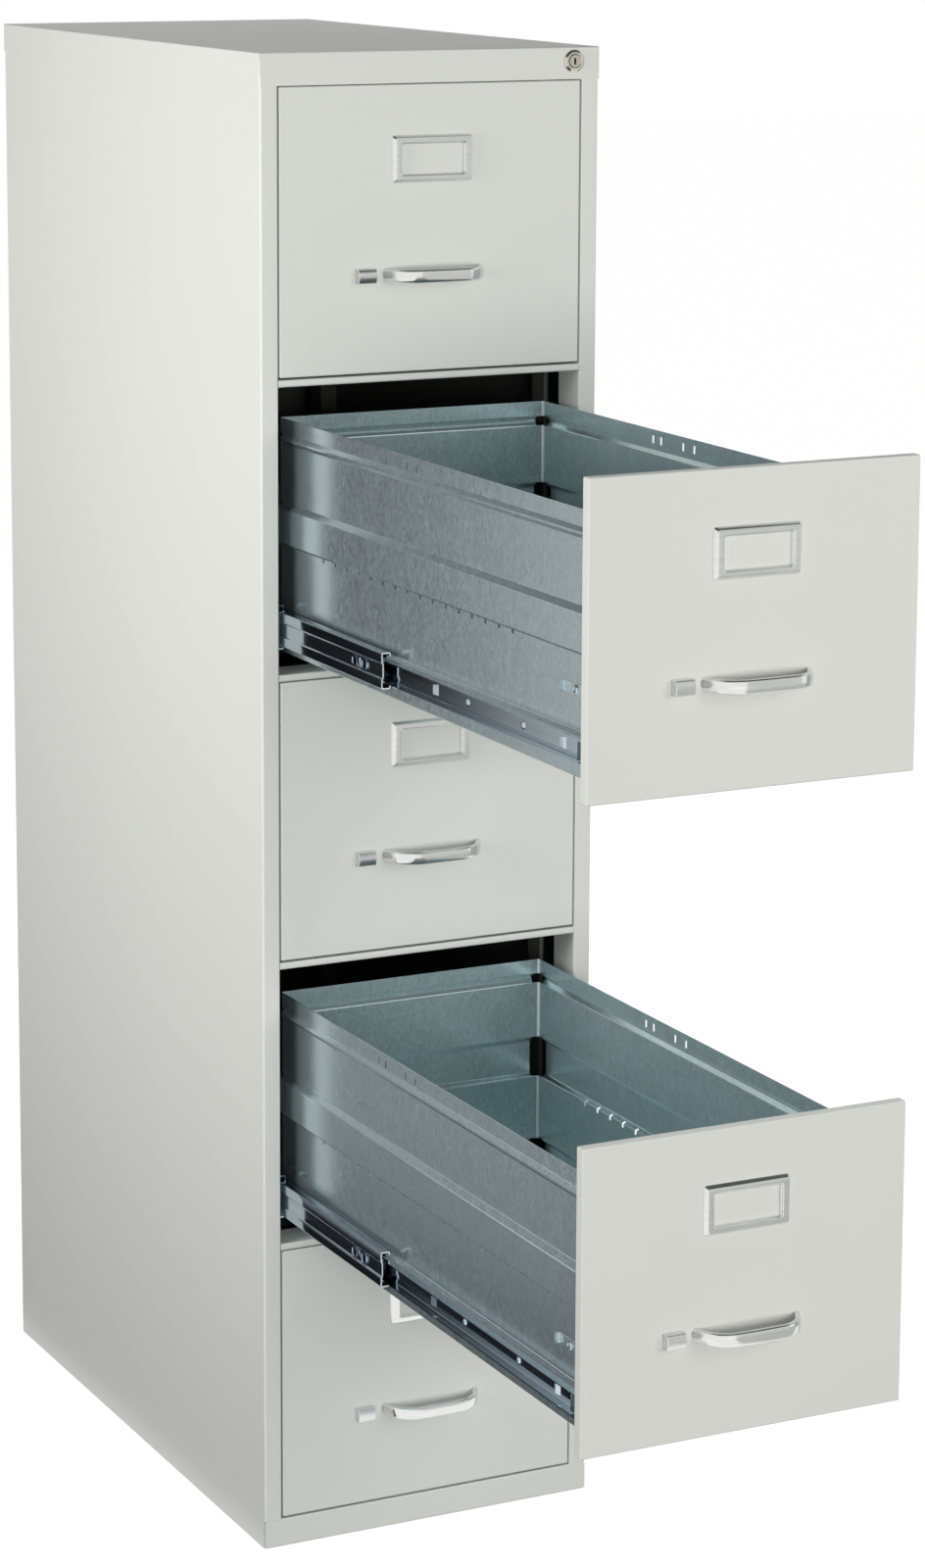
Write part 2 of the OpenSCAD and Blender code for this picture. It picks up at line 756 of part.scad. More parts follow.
// A plate standing on y 0 towards the front, with sides that slope in by an equal amount
module sloped_plate(w, h, t, slope) {
    outline_x = [[-w / 2, 0], [w / 2, 0], [w / 2 - slope, -t], [slope - w / 2, -t]];
    outline_z = [[0, -h / 2], [0, h / 2], [-t, h / 2 - slope], [-t, slope - h / 2]];
    intersection() {
        translate([0, 0, -h / 2]) linear_extrude(h) polygon(outline_x);
        along_x(-w / 2, w / 2) polygon(outline_z);
    }
}

module drawer_label_frame(n) color(bright) at_drawer(n)
    translate([0, 0, front_h - label_drop]) difference() {
        window_w = label_w - 2 * (label_rim + label_bevel);
        window_h = label_h - 2 * label_rim + label_bevel / 2;
        sloped_plate(label_w, label_h, label_t, label_bevel);
        block([-window_w / 2, -label_t - past, -window_h / 2], [window_w / 2, past, window_h / 2]);
        // Room behind the rim for a card
        block(
            [-window_w / 2 - label_rim / 2, -label_t / 4, -window_h / 2 - label_rim / 2],
            [window_w / 2 + label_rim / 2, past, window_h / 2 + label_rim / 2]
        );
    }

module drawer_thumb_latch(n) color(bright) at_drawer(n) translate([-thumb_x, 0, latch_z]) {
    block([-thumb_w / 2, -thumb_t, -thumb_h / 2], [thumb_w / 2, -latch_gap, thumb_h / 2]);
    block(
        [2 * latch_gap - thumb_w / 2, -latch_gap - past, -thumb_h / 4],
        [0, 2 * case_sheet + latch_gap, thumb_h / 4]
    );
}

module drawer_latch_bar(n) color(zinc) at_drawer(n) translate([0, 0, latch_z - latch_h / 2]) {
    mid = latch_t / 2;
    bar_in = 2 * case_sheet + latch_gap + mid;
    tip_x = opening_x - hook_gap;
    path = [[-thumb_x, bar_in], [-latch_arm_x, bar_in], [-latch_arm_x, hook_y], [-tip_x, hook_y]];
    linear_extrude(latch_h) polygon(folded(path, latch_t, latch_t));
}

module lock_housing() color(nickel) difference() {
    front = -case_d / 2;
    union() {
        rod(lock_x, lock_z, lock_flange_r, front - lock_flange_t, front);
        rod(lock_x, lock_z, lock_body_r, front - past, panel_front + post_return - lock_flange_t);
    }
    rod(lock_x, lock_z, plug_r + lock_gap, front - lock_flange_t - past, panel_front + post_return);
}

module lock_plug() color(nickel) difference() {
    front = -case_d / 2 - lock_flange_t;
    rod(lock_x, lock_z, plug_r, front - lock_gap, panel_front + cam_y);
    // Keyway
    block(
        [lock_x - plug_r / 6, front - past, lock_z - plug_r / 2],
        [lock_x + plug_r / 6, front + 2 * plug_r, lock_z + plug_r / 2]
    );
}

module lock_cam() color(nickel) translate([lock_x, panel_front, lock_z]) rotate([0, 45, 0]) {
    rod(0, 0, plug_r + peg_r, cam_y, cam_y + lock_plate);
    block([0, cam_y, -1.5 * peg_r], [peg_throw, cam_y + lock_plate, 1.5 * peg_r]);
    rod(peg_throw, 0, 2 * peg_r, cam_y, cam_y + lock_plate);
    rod(peg_throw, 0, peg_r, cam_y, bar_y + lock_plate + cam_gap);
}

module lock_bar() color(zinc) {
    head_z = lock_z - peg_dx;
    head_half = 2 * peg_r + 2 * peg_play;
    y0 = panel_front + bar_y;
    difference() {
        union() {
            block(
                [bar_x, y0, front_z(drawers) + finger_z],
                [bar_x + lock_plate, y0 + lock_bar_d, head_z + head_half]
            );
            // Slotted head, spot-welded on the bar's edge
            block(
                [lock_x + peg_dx - 3 * peg_r, y0, head_z - head_half],
                [bar_x - lap_gap, y0 + lock_plate, head_z + head_half]
            );
        }
        block(
            [lock_x + peg_dx - peg_r - peg_play, y0 - past, head_z - peg_r - peg_play],
            [lock_x + peg_throw + peg_r + peg_play, y0 + lock_plate + 2 * cam_gap, head_z + peg_r + peg_play]
        );
    }
}

module lock_fingers() color(zinc) for (n = [1:drawers])
    translate([0, panel_front + bar_y, front_z(n) + finger_z])
        block([band_x + finger_side_gap, 0, 0], [bar_x, lock_plate, finger_h]);

// Staples on the front upright that hold the lock bar
module lock_bar_guides() color(zinc) for (n = [1, 3, 5])
    translate([0, panel_front, front_z(n) + ledge_z]) difference() {
        block(
            [bar_x - lock_gap - lock_plate / 2, bar_y - lock_gap - lock_plate / 2, 0],
            [bar_x + 2 * lock_plate + lock_gap, upright_front, finger_h]
        );
        block(
            [bar_x - lock_gap, bar_y - lock_gap, -past],
            [bar_x + lock_plate + lock_gap, bar_y + lock_bar_d + lock_gap, finger_h + past]
        );
    }

module drawer_piece(n, kind) {
    if (kind == "front") drawer_front(n);
    if (kind == "box") drawer_box(n);
    if (kind == "bottom") drawer_bottom(n);
    if (kind == "pull") drawer_pull(n);
    if (kind == "label_frame") drawer_label_frame(n);
    if (kind == "inner_slides") inner_slides(n);
    if (kind == "middle_slides") middle_slides(n);
    if (kind == "thumb_latch") drawer_thumb_latch(n);
    if (kind == "latch_bar") drawer_latch_bar(n);
}

left_side_panel();
right_side_panel();
back_panel();
top_cap();
base_pan();
cross_rails();
slide_uprights();
outer_slides();
levelling_glides();
lock_housing();
lock_bar_guides();
lock_plug();
lock_cam();
lock_bar();
lock_fingers();
for (n = [1:drawers])
    for (kind = KINDS)
        drawer_piece(n, kind);
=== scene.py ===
"""Looks of the five-drawer vertical file.

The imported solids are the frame. This script gives them their paint and metal finishes, puts finer pieces
in place of the solids whose edges and curves show most, adds the small parts of the slides, and sets up
the studio and the camera.
"""

import json
import math

import bmesh
import bpy
from mathutils import Euler, Matrix, Vector

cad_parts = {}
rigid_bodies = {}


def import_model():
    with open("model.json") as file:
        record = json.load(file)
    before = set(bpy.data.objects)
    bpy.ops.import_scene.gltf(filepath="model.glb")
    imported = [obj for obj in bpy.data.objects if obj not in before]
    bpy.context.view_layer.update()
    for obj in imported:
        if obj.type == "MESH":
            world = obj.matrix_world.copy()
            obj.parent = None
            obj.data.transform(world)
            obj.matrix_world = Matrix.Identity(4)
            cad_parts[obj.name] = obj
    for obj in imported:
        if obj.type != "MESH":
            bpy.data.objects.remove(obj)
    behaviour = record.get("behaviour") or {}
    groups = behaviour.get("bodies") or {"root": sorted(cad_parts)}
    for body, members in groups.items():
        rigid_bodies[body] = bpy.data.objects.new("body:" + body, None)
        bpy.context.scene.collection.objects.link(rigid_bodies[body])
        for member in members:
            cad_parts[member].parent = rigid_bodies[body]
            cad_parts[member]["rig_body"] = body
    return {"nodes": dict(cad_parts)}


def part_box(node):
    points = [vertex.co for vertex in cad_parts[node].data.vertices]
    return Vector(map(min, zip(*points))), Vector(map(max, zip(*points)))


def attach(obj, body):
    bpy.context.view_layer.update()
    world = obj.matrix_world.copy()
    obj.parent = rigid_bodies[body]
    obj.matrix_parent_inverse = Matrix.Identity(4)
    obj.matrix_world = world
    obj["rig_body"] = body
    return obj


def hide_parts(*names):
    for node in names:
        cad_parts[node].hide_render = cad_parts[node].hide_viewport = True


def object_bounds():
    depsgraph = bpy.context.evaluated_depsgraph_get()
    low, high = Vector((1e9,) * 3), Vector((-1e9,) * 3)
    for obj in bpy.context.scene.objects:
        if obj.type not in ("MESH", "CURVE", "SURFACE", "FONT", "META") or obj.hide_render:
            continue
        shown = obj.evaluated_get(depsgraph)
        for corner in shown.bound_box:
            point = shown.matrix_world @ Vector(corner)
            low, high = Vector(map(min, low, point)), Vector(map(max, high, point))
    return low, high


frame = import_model()
CAD_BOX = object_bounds()

bl_info = {
    "name": "Vertical file looks",
    "version": (1, 0, 0),
    "blender": (4, 5, 0),
    "location": "View3D > Sidebar > Vertical file",
    "description": "Finishes, fine pieces and studio for a five-drawer vertical file",
    "category": "Object",
}

MM = 0.001
DRAWERS = range(1, 6)
SIDES = (-1, 1)
# Points closer than this are one point of a solid
JOIN = 0.004 * MM
# Points of a mesh that is drawn in millimetres are level or joined when they are closer than this
NEAR = 0.001
# Facets that meet at less than this are one flat face of a solid
FLAT = math.radians(0.5)
# A face of a panel looks inwards where the middle lies at least this far in front of it
INWARD = 100 * MM
# Bends and folds that are shorter than this are small parts of a panel
LONG = 200 * MM
NODES = frame["nodes"]


def linear(code):
    """Turns an sRGB hex code into linear red, green, blue and alpha."""
    parts = [int(code[i:i + 2], 16) / 255 for i in (1, 3, 5)]
    return (*[c / 12.92 if c <= 0.04045 else ((c + 0.055) / 1.055) ** 2.4 for c in parts], 1)


class FileSizes(bpy.types.PropertyGroup):
    """Sizes that the solids leave to the looks."""

    front_edge: bpy.props.FloatProperty(
        name="Front edge", description="Radius of the folded edges of a drawer front",
        default=1.5 * MM, unit="LENGTH")
    cap_edge: bpy.props.FloatProperty(
        name="Cap edge", description="Radius of the fold round the top of the case",
        default=1.6 * MM, unit="LENGTH")
    press_round: bpy.props.FloatProperty(
        name="Press rounding", description="How far the bends of a pressed wall spread to each side",
        default=2.4 * MM, unit="LENGTH")
    pull_crown: bpy.props.FloatProperty(
        name="Pull crown", description="How far the pull's face stands out along its middle",
        default=0.9 * MM, unit="LENGTH")
    pull_bow: bpy.props.FloatProperty(
        name="Pull bow", description="How far the pull's bar stands out between its elbows",
        default=1.2 * MM, unit="LENGTH")
    thumb_crown: bpy.props.FloatProperty(
        name="Thumb crown", description="How far a thumb latch's face stands out along its middle",
        default=2.2 * MM, unit="LENGTH")
    thumb_edge: bpy.props.FloatProperty(
        name="Thumb edge", description="Radius of the rim round a thumb latch's face",
        default=0.8 * MM, unit="LENGTH")
    ball_radius: bpy.props.FloatProperty(
        name="Ball radius", description="Radius of the balls that run in the slides",
        default=2.4 * MM, unit="LENGTH")


class FileColours(bpy.types.PropertyGroup):
    """Colours of the finishes."""

    paint: bpy.props.FloatVectorProperty(
        name="Paint", description="Baked enamel outside the case and on the drawer fronts",
        default=linear("#D7D8D2"), size=4, subtype="COLOR")
    # The inside coat's dark grey is painted shade: it stands in for the shade inside the case, over a thin
    # primer
    inside: bpy.props.FloatVectorProperty(
        name="Inside coat", description="Thin primer on the inside of the case",
        default=linear("#5C5C5A"), size=4, subtype="COLOR")
    galvanised: bpy.props.FloatVectorProperty(
        name="Galvanised", description="Zinc-coated sheet of the drawer boxes",
        default=linear("#C1D0D5"), size=4, subtype="COLOR")
    # Lighter than the galvanised outside: painted light inside the boxes
    inside_zinc_painted_light: bpy.props.FloatVectorProperty(
        name="Dull zinc", description="Zinc-coated sheet inside the drawer boxes, where nothing rubs it",
        default=linear("#CBDDE0"), size=4, subtype="COLOR")
    # A painted highlight for the inner corner folds of the boxes and the sheared ends of the slides
    highlight_zinc: bpy.props.FloatVectorProperty(
        name="Burnished zinc", description="Zinc-coated sheet where a die folds or shears it",
        default=linear("#F4F8F8"), size=4, subtype="COLOR")
    zinc: bpy.props.FloatVectorProperty(
        name="Zinc plate", description="Blue-passivated plate on the slides",
        default=linear("#D0DBE2"), size=4, subtype="COLOR")
    bright: bpy.props.FloatVectorProperty(
        name="Bright trim", description="Plated pulls, label frames and thumb latches",
        default=linear("#EDEDEA"), size=4, subtype="COLOR")
    nickel: bpy.props.FloatVectorProperty(
        name="Nickel", description="Plate on the lock's face",
        default=linear("#DEDBD0"), size=4, subtype="COLOR")
    black: bpy.props.FloatVectorProperty(
        name="Black steel", description="Oiled black steel of the glides and ball cages",
        default=linear("#242628"), size=4, subtype="COLOR")


def looks():
    """The colours as the scene holds them."""
    return bpy.context.scene.file_colours


def sizes():
    """The sizes as the scene holds them."""
    return bpy.context.scene.file_sizes


def add(tree, kind, settings=None, inputs=None):
    """Adds a node with its settings, and sets or links its inputs by name or number."""
    node = tree.nodes.new(kind)
    for name, value in (settings or {}).items():
        setattr(node, name, value)
    for name, value in (inputs or {}).items():
        if isinstance(value, bpy.types.NodeSocket):
            tree.links.new(value, node.inputs[name])
        else:
            node.inputs[name].default_value = value
    return node


def shades(colour, spread):
    """A darker and a lighter shade of a colour."""
    return [(*[min(1, c * k) for c in colour[:3]], 1) for k in (1 - spread, 1 + spread)]


def started(name):
    """A new material with its node tree and shader, and the place that its patterns read."""
    material = bpy.data.materials.new(name)
    material.use_nodes = True
    tree = material.node_tree
    place = add(tree, "ShaderNodeTexCoord").outputs["Object"]
    return material, tree, tree.nodes["Principled BSDF"], place


def baked_enamel():
    """Enamel sprayed on steel and baked: even grey, with a faint orange peel in its half-gloss."""
    material, tree, shader, place = started("baked_enamel_sprayed")
    # The film's thickness drifts over a hand's width
    drift = add(tree, "ShaderNodeTexNoise", None, {"Vector": place, "Scale": 1 / (160 * MM), "Detail": 3})
    dark, light = shades(looks().paint, 0.012)
    tone = add(tree, "ShaderNodeMix", {"data_type": "RGBA"}, {0: drift.outputs["Fac"], 6: dark, 7: light})
    # Orange peel is about 1 mm across, drawn at 2.2 mm so that it shows
    peel = add(tree, "ShaderNodeTexNoise", None, {"Vector": place, "Scale": 1 / (2.2 * MM), "Detail": 2})
    gloss = add(tree, "ShaderNodeMapRange", None, {"Value": peel.outputs["Fac"], 3: 0.38, 4: 0.50})
    relief = add(tree, "ShaderNodeBump", None,
                 {"Height": peel.outputs["Fac"], "Strength": 0.12, "Distance": 0.05 * MM})
    tree.links.new(tone.outputs[2], shader.inputs["Base Color"])
    tree.links.new(gloss.outputs["Result"], shader.inputs["Roughness"])
    tree.links.new(relief.outputs["Normal"], shader.inputs["Normal"])
    shader.inputs["IOR"].default_value = 1.5
    return material


def primer_with_painted_shade():
    """Thin primer on the inside of the case, in a dark grey that is painted shade for the shut-in case: flat
    and a little cloudy.
    """
    material, tree, shader, place = started("primer_painted_shade")
    cloud = add(tree, "ShaderNodeTexNoise", None, {"Vector": place, "Scale": 1 / (40 * MM), "Detail": 4})
    dark, light = shades(looks().inside, 0.12)
    tone = add(tree, "ShaderNodeMix", {"data_type": "RGBA"}, {0: cloud.outputs["Fac"], 6: dark, 7: light})
    gloss = add(tree, "ShaderNodeMapRange", None, {"Value": cloud.outputs["Fac"], 3: 0.6, 4: 0.8})
    tree.links.new(tone.outputs[2], shader.inputs["Base Color"])
    tree.links.new(gloss.outputs["Result"], shader.inputs["Roughness"])
    return material


def galvanised_sheet(name, colour, metal, spread):
    """Hot-dip galvanised sheet: fine upright spangles that differ a little in tone and gloss."""
    material, tree, shader, place = started(name)
    # Spangles are about 1.5 mm wide and 3 mm tall, drawn 2.6 mm wide and 4.3 mm tall so that they show
    drawn = add(tree, "ShaderNodeMapping", None, {"Vector": place, "Scale": (1, 1, 0.6)}).outputs[0]
    spangle = add(tree, "ShaderNodeTexVoronoi", None, {"Vector": drawn, "Scale": 1 / (2.6 * MM)})
    # The bath leaves clouds about a finger wide
    cloud = add(tree, "ShaderNodeTexNoise", None, {"Vector": drawn, "Scale": 1 / (16 * MM), "Detail": 7})
    cloud_share = 0.42
    mottle = add(tree, "ShaderNodeMix", None,
                 {0: cloud_share, 2: spangle.outputs["Color"], 3: cloud.outputs["Fac"]})
    dark, light = shades(colour, spread)
    tone = add(tree, "ShaderNodeMix", {"data_type": "RGBA"}, {0: mottle.outputs[0], 6: dark, 7: light})
    smoothest = 0.16
    gloss = add(tree, "ShaderNodeMapRange", None,
                {"Value": mottle.outputs[0], 3: smoothest, 4: smoothest + 0.8 * spread})
    tree.links.new(tone.outputs[2], shader.inputs["Base Color"])
    tree.links.new(gloss.outputs["Result"], shader.inputs["Roughness"])
    shader.inputs["Metallic"].default_value = metal
    return material


def plated(name, colour, tint, grain, gloss):
    """Plate on drawn or cast metal: its tint and gloss drift along a grain, whose size is in mm."""
    material, tree, shader, place = started(name)
    scale = [1 / (size * MM) for size in grain]
    run = add(tree, "ShaderNodeMapping", None, {"Vector": place, "Scale": scale})
    drift = add(tree, "ShaderNodeTexNoise", None, {"Vector": run.outputs[0], "Scale": 1, "Detail": 4})
    tone = add(tree, "ShaderNodeMix", {"data_type": "RGBA"}, {0: drift.outputs["Fac"], 6: tint, 7: colour})
    shine = add(tree, "ShaderNodeMapRange", None, {"Value": drift.outputs["Fac"], 3: gloss[0], 4: gloss[1]})
    tree.links.new(tone.outputs[2], shader.inputs["Base Color"])
    tree.links.new(shine.outputs["Result"], shader.inputs["Roughness"])
    shader.inputs["Metallic"].default_value = 1
    return material


# Materials that are made already
FINISHES = {}


def finish(slot):
    """The material for one of the record's slots or a variant of it, made when it is first asked for."""
    colours = looks()
    makers = {
        "case_paint": baked_enamel,
        "inside": primer_with_painted_shade,
        "galvanised_steel": lambda: galvanised_sheet(
            "galvanised_sheet_spangled", colours.galvanised, 0.85, 0.15),
        # A lighter, less metallic copy of the sheet for the insides of the boxes: painted light that stands
        # in for the light inside them
        "box_inside_painted_light": lambda: galvanised_sheet("galvanised_sheet_painted_light", colours.inside_zinc_painted_light, 0.76, 0.15),
        # Near-white, mostly diffuse zinc on the boxes' inner corner folds and a middle member's sheared end:
        # a painted highlight along those lines
        "painted_highlight_edge": lambda: galvanised_sheet("galvanised_sheet_painted_highlight", colours.highlight_zinc, 0.2, 0.04),
        # Zinc with a blue passivate, in streaks along the roll-formed length
        "zinc_steel": lambda: plated(
            "zinc_plate_roll_formed", colours.zinc, linear("#A9BCCB"), (6, 160, 6), (0.06, 0.13)),
        # Polished and plated die castings with a faint buffing haze
        "bright_pull": lambda: plated(
            "bright_plate_buffed", colours.bright, linear("#D9DADA"), (18, 9, 3), (0.10, 0.22)),
        # The same plate left satin where a thumb rubs it
        "satin": lambda: plated(
            "satin_plate_rubbed", colours.bright, linear("#CDCED2"), (18, 9, 3), (0.26, 0.34)),
        # Nickel is warmer than chrome
        "lock_nickel": lambda: plated(
            "nickel_plate_turned", colours.nickel, linear("#C4BFAF"), (2, 2, 2), (0.10, 0.20)),
        # Oiled black oxide
        "black_steel": lambda: plated(
            "black_oxide_oiled", colours.black, linear("#17181A"), (5, 5, 5), (0.35, 0.5)),
    }
    if slot not in FINISHES:
        FINISHES[slot] = makers[slot]()
    return FINISHES[slot]


def smoothed(bm, angle):
    """Shades a mesh smooth, apart from edges that turn by more than an angle in degrees."""
    limit = math.radians(angle)
    for face in bm.faces:
        face.smooth = True
    for edge in bm.edges:
        edge.smooth = edge.calc_face_angle(0) < limit


def piece(name, bm, body, slot, *nodes):
    """Makes an object of a mesh that is in place: it rides on a body and stands for some nodes."""
    mesh = bpy.data.meshes.new(name)
    bm.to_mesh(mesh)
    bm.free()
    mesh.materials.append(finish(slot))
    obj = bpy.data.objects.new(name, mesh)
    bpy.context.scene.collection.objects.link(obj)
    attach(obj, body)
    if nodes:
        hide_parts(*nodes)
    return obj


def even_shading(obj):
    """Lets large flat faces set the shading where small bends meet them."""
    obj.modifiers.new("Even shading", "WEIGHTED_NORMAL").keep_sharp = True
    return obj


def solid_of(node):
    """A node's solid as one joined mesh with whole faces."""
    mesh = NODES[node].data.copy()
    for layer in [a for a in mesh.attributes if a.name == "custom_normal"]:
        mesh.attributes.remove(layer)
    bm = bmesh.new()
    bm.from_mesh(mesh)
    bpy.data.meshes.remove(mesh)
    bmesh.ops.remove_doubles(bm, verts=bm.verts, dist=JOIN)
    bmesh.ops.dissolve_limit(bm, angle_limit=FLAT, verts=bm.verts, edges=bm.edges)
    return bm


def dressed(node, name, slot, angle=35, radius=0, segments=3, rounds=None, inside=None,
            linings=("inside",)):
    """A copy of a node's solid with smooth bends and some of its edges rounded, in the node's place.
    Faces that are picked as inside take the lining that they are given, counted from 1."""
    bm = solid_of(node)
    if radius:
        bmesh.ops.bevel(bm, geom=[e for e in bm.edges if rounds(e)], offset=radius, segments=segments,
                        profile=0.5, affect="EDGES", material=-1, clamp_overlap=True)
    smoothed(bm, angle)
    for face in bm.faces:
        face.material_index = int(inside(face)) if inside else 0
    obj = even_shading(piece(name, bm, NODES[node]["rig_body"], slot, node))
    for lining in linings if inside else ():
        obj.data.materials.append(finish(lining))
    return obj


def painted(slot, *nodes):
    """Gives nodes that keep their own solids their finish."""
    for node in nodes:
        for place in NODES[node].material_slots:
            place.material = finish(slot)


def placed(bm, at):
    """Moves a mesh that was drawn in millimetres to its place."""
    bmesh.ops.transform(bm, matrix=Matrix.Translation(at) @ Matrix.Scale(MM, 4), verts=bm.verts)
    return bm


def flat_face(bm, points):
    """A face through a few points."""
    return bm.faces.new([bm.verts.new(p) for p in points])


def rectangle(bm, x, z):
    """An upright face that reaches x to both sides, and z up and down."""
    return flat_face(bm, [(-x, 0, -z), (x, 0, -z), (x, 0, z), (-x, 0, z)])


def pushed(bm, face, way):
    """Extrudes a face, and gives back the face at the far end."""
    made = bmesh.ops.extrude_face_region(bm, geom=[face])["geom"]
    bmesh.ops.translate(bm, vec=way, verts=[v for v in made if isinstance(v, bmesh.types.BMVert)])
    return next(f for f in made if isinstance(f, bmesh.types.BMFace))


def outward(bm):
    """Merges doubles and turns the faces outwards."""
    bmesh.ops.remove_doubles(bm, verts=bm.verts, dist=NEAR)
    bmesh.ops.recalc_face_normals(bm, faces=bm.faces)
    return bm


def turned(bm, profile, steps):
    """Turns a profile of radii and heights round the Y axis."""
    verts = [bm.verts.new((r, y, 0)) for r, y in profile]
    edges = [bm.edges.new(pair) for pair in zip(verts, verts[1:])]
    bmesh.ops.spin(bm, geom=verts + edges, cent=(0, 0, 0), axis=(0, 1, 0), angle=2 * math.pi,
                   steps=steps, use_merge=True, dvec=(0, 0, 0))
    return bm


def pressed_bend(edge):
    """Tells whether an edge is one of the long bends of a pressed wall."""
    return (edge.calc_length() > LONG and abs(edge.verts[0].co.z - edge.verts[1].co.z) < JOIN
            and math.radians(10) < edge.calc_face_angle(0) < math.radians(75))


def drawer_place(n):
    """The middle of the bottom edge of a drawer's face."""
    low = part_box(f"drawer_{n}_front")[0]
    return Vector((0, low.y, low.z))


class VERTICAL_FILE_OT_case(bpy.types.Operator):
    """Finish the folded panels, rails and inner frame of the case"""

    bl_idname = "vertical_file.case"
    bl_label = "Case"

    # The posts are painted all round, and the dark inside coat, a painted shade, starts this far behind
    # their face
    post_depth = 46 * MM

    def execute(self, context):
        low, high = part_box("base_pan")
        middle = (low + high) / 2
        middle.z = CAD_BOX[1][2] / 2
        behind_posts = low.y + self.post_depth

        def inner(face):
            centre = face.calc_center_median()
            return centre.y > behind_posts and face.normal.dot(middle - centre) > INWARD

        def top_fold(edge):
            return edge.calc_face_angle(0) > math.radians(60) and all(
                abs(v.co.z - CAD_BOX[1][2]) < JOIN for v in edge.verts)

        # Inward faces behind the posts take the dark inside coat, which is painted shade
        for node in ("left_side_panel", "right_side_panel", "base_pan", "back_panel"):
            dressed(node, node + "_folded", "case_paint", inside=inner)
        dressed("top_cap", "top_cap_folded", "case_paint", 35, sizes().cap_edge, 4, top_fold, inner)
        dressed("cross_rails", "cross_rails_folded", "case_paint")
        # The uprights take the dark inside coat too, as painted shade that keeps them dark in the open bays
        painted("inside", "slide_uprights")
        painted("zinc_steel", "lock_bar_guides")
        painted("black_steel", "levelling_glides")
        return {"FINISHED"}


class VERTICAL_FILE_OT_drawers(bpy.types.Operator):
    """Round the edges of the drawer fronts and finish the boxes behind them"""

    bl_idname = "vertical_file.drawers"
    bl_label = "Drawers"

    def execute(self, context):
        for n in DRAWERS:
            low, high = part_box(f"drawer_{n}_front")

            def rim(edge):
                ends = [v.co for v in edge.verts]
                in_face = all(abs(p.y - low.y) < JOIN for p in ends)
                at_x = any(all(abs(p.x - x) < JOIN for p in ends) for x in (low.x, high.x))
                at_z = any(all(abs(p.z - z) < JOIN for p in ends) for z in (low.z, high.z))
                return in_face + at_x + at_z > 1

            dressed(f"drawer_{n}_front", f"drawer_{n}_front_pan", "case_paint", 35,
                    sizes().front_edge, 4, rim)
            low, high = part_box(f"drawer_{n}_box")
            middle = (low + high) / 2

            # Inward faces take the lighter inside copy, painted light; inward faces at the corner folds take
            # a near-white painted highlight
            def inner(face):
                within = face.normal.xy.dot((middle - face.calc_center_median()).xy) > INWARD
                corner = min(abs(face.normal.x), abs(face.normal.y)) > 0.1
                return within + (within and corner)

            dressed(f"drawer_{n}_box", f"drawer_{n}_box_pressed", "galvanised_steel", 50,
                    sizes().press_round, 4, pressed_bend, inner, ("box_inside_painted_light", "painted_highlight_edge"))
            # The bottoms take the lighter inside copy too, as painted light
            painted("box_inside_painted_light", f"drawer_{n}_bottom")
        return {"FINISHED"}


class VERTICAL_FILE_OT_pulls(bpy.types.Operator):
    """Bend the pulls from a crowned bar"""

    bl_idname = "vertical_file.pulls"
    bl_label = "Pulls"

    def execute(self, context):
        for n in DRAWERS:
            low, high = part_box(f"drawer_{n}_pull")
            face_y = drawer_place(n).y
            self.bow(n, Vector(((low.x + high.x) / 2, face_y, (low.z + high.z) / 2)),
                     (face_y - low.y) / MM, (high.z - low.z) / MM, (high.x - low.x) / MM)
        return {"FINISHED"}

    def bow(self, n, at, out, height, span):
        """One pull: half a bar, a bend and a leg, then the mirror image."""
        thick, bend_r, edge_r = 6, 26, 2.4
        # A leg meets the drawer on a slant, so half its thickness takes up more of the face
        slant_half = 3.36
        bar_half, foot = 40, span / 2 - slant_half
        middle_y = thick / 2 - out
        lean = math.atan2(-middle_y, foot - bar_half)
        bar_run, bar_steps = bar_half - bend_r * math.tan(lean / 2), 6
        bm = bmesh.new()
        y0, y1, z1 = middle_y - thick / 2, middle_y + thick / 2, height / 2
        face = flat_face(bm, [(0, y0, -z1), (0, y0, z1), (0, y1, z1), (0, y1, -z1)])
        bmesh.ops.bevel(bm, geom=list(face.verts), offset=edge_r, segments=5, profile=0.5,
                        affect="VERTICES", material=-1)
        crest = [e for e in bm.edges if all(abs(v.co.y - y0) < NEAR for v in e.verts)]
        bmesh.ops.subdivide_edges(bm, edges=crest, cuts=7)
        crown = sizes().pull_crown / MM
        for vert in bm.verts:
            vert.co.y += crown * (vert.co.z / z1) ** 2 * (vert.co.y < middle_y)
        face = bm.faces[:][0]
        for step in range(bar_steps):
            face = pushed(bm, face, (bar_run / bar_steps, 0, 0))
        turn = bmesh.ops.spin(bm, geom=[face], axis=(0, 0, 1), angle=lean, steps=12, dvec=(0, 0, 0),
                              cent=(bar_run, middle_y + bend_r, 0))
        face = next(f for f in turn["geom_last"] if isinstance(f, bmesh.types.BMFace))
        way = Vector((math.cos(lean), math.sin(lean), 0))
        face = pushed(bm, face, way)
        for vert in face.verts:
            vert.co += way * (-vert.co.y / way.y)
        bmesh.ops.delete(bm, geom=[f for f in bm.faces if all(abs(v.co.x) < NEAR for v in f.verts)],
                         context="FACES_ONLY")
        bmesh.ops.mirror(bm, geom=bm.verts[:] + bm.edges[:] + bm.faces[:], axis="X", merge_dist=NEAR)
        bow = sizes().pull_bow / MM
        for vert in bm.verts:
            vert.co.y += bow * min(1, (vert.co.x / bar_half) ** 2) * (vert.co.y / middle_y)
        outward(bm)
        smoothed(bm, 50)
        even_shading(piece(f"drawer_{n}_pull_bow", placed(bm, at), f"drawer_{n}", "bright_pull",
                           f"drawer_{n}_pull"))


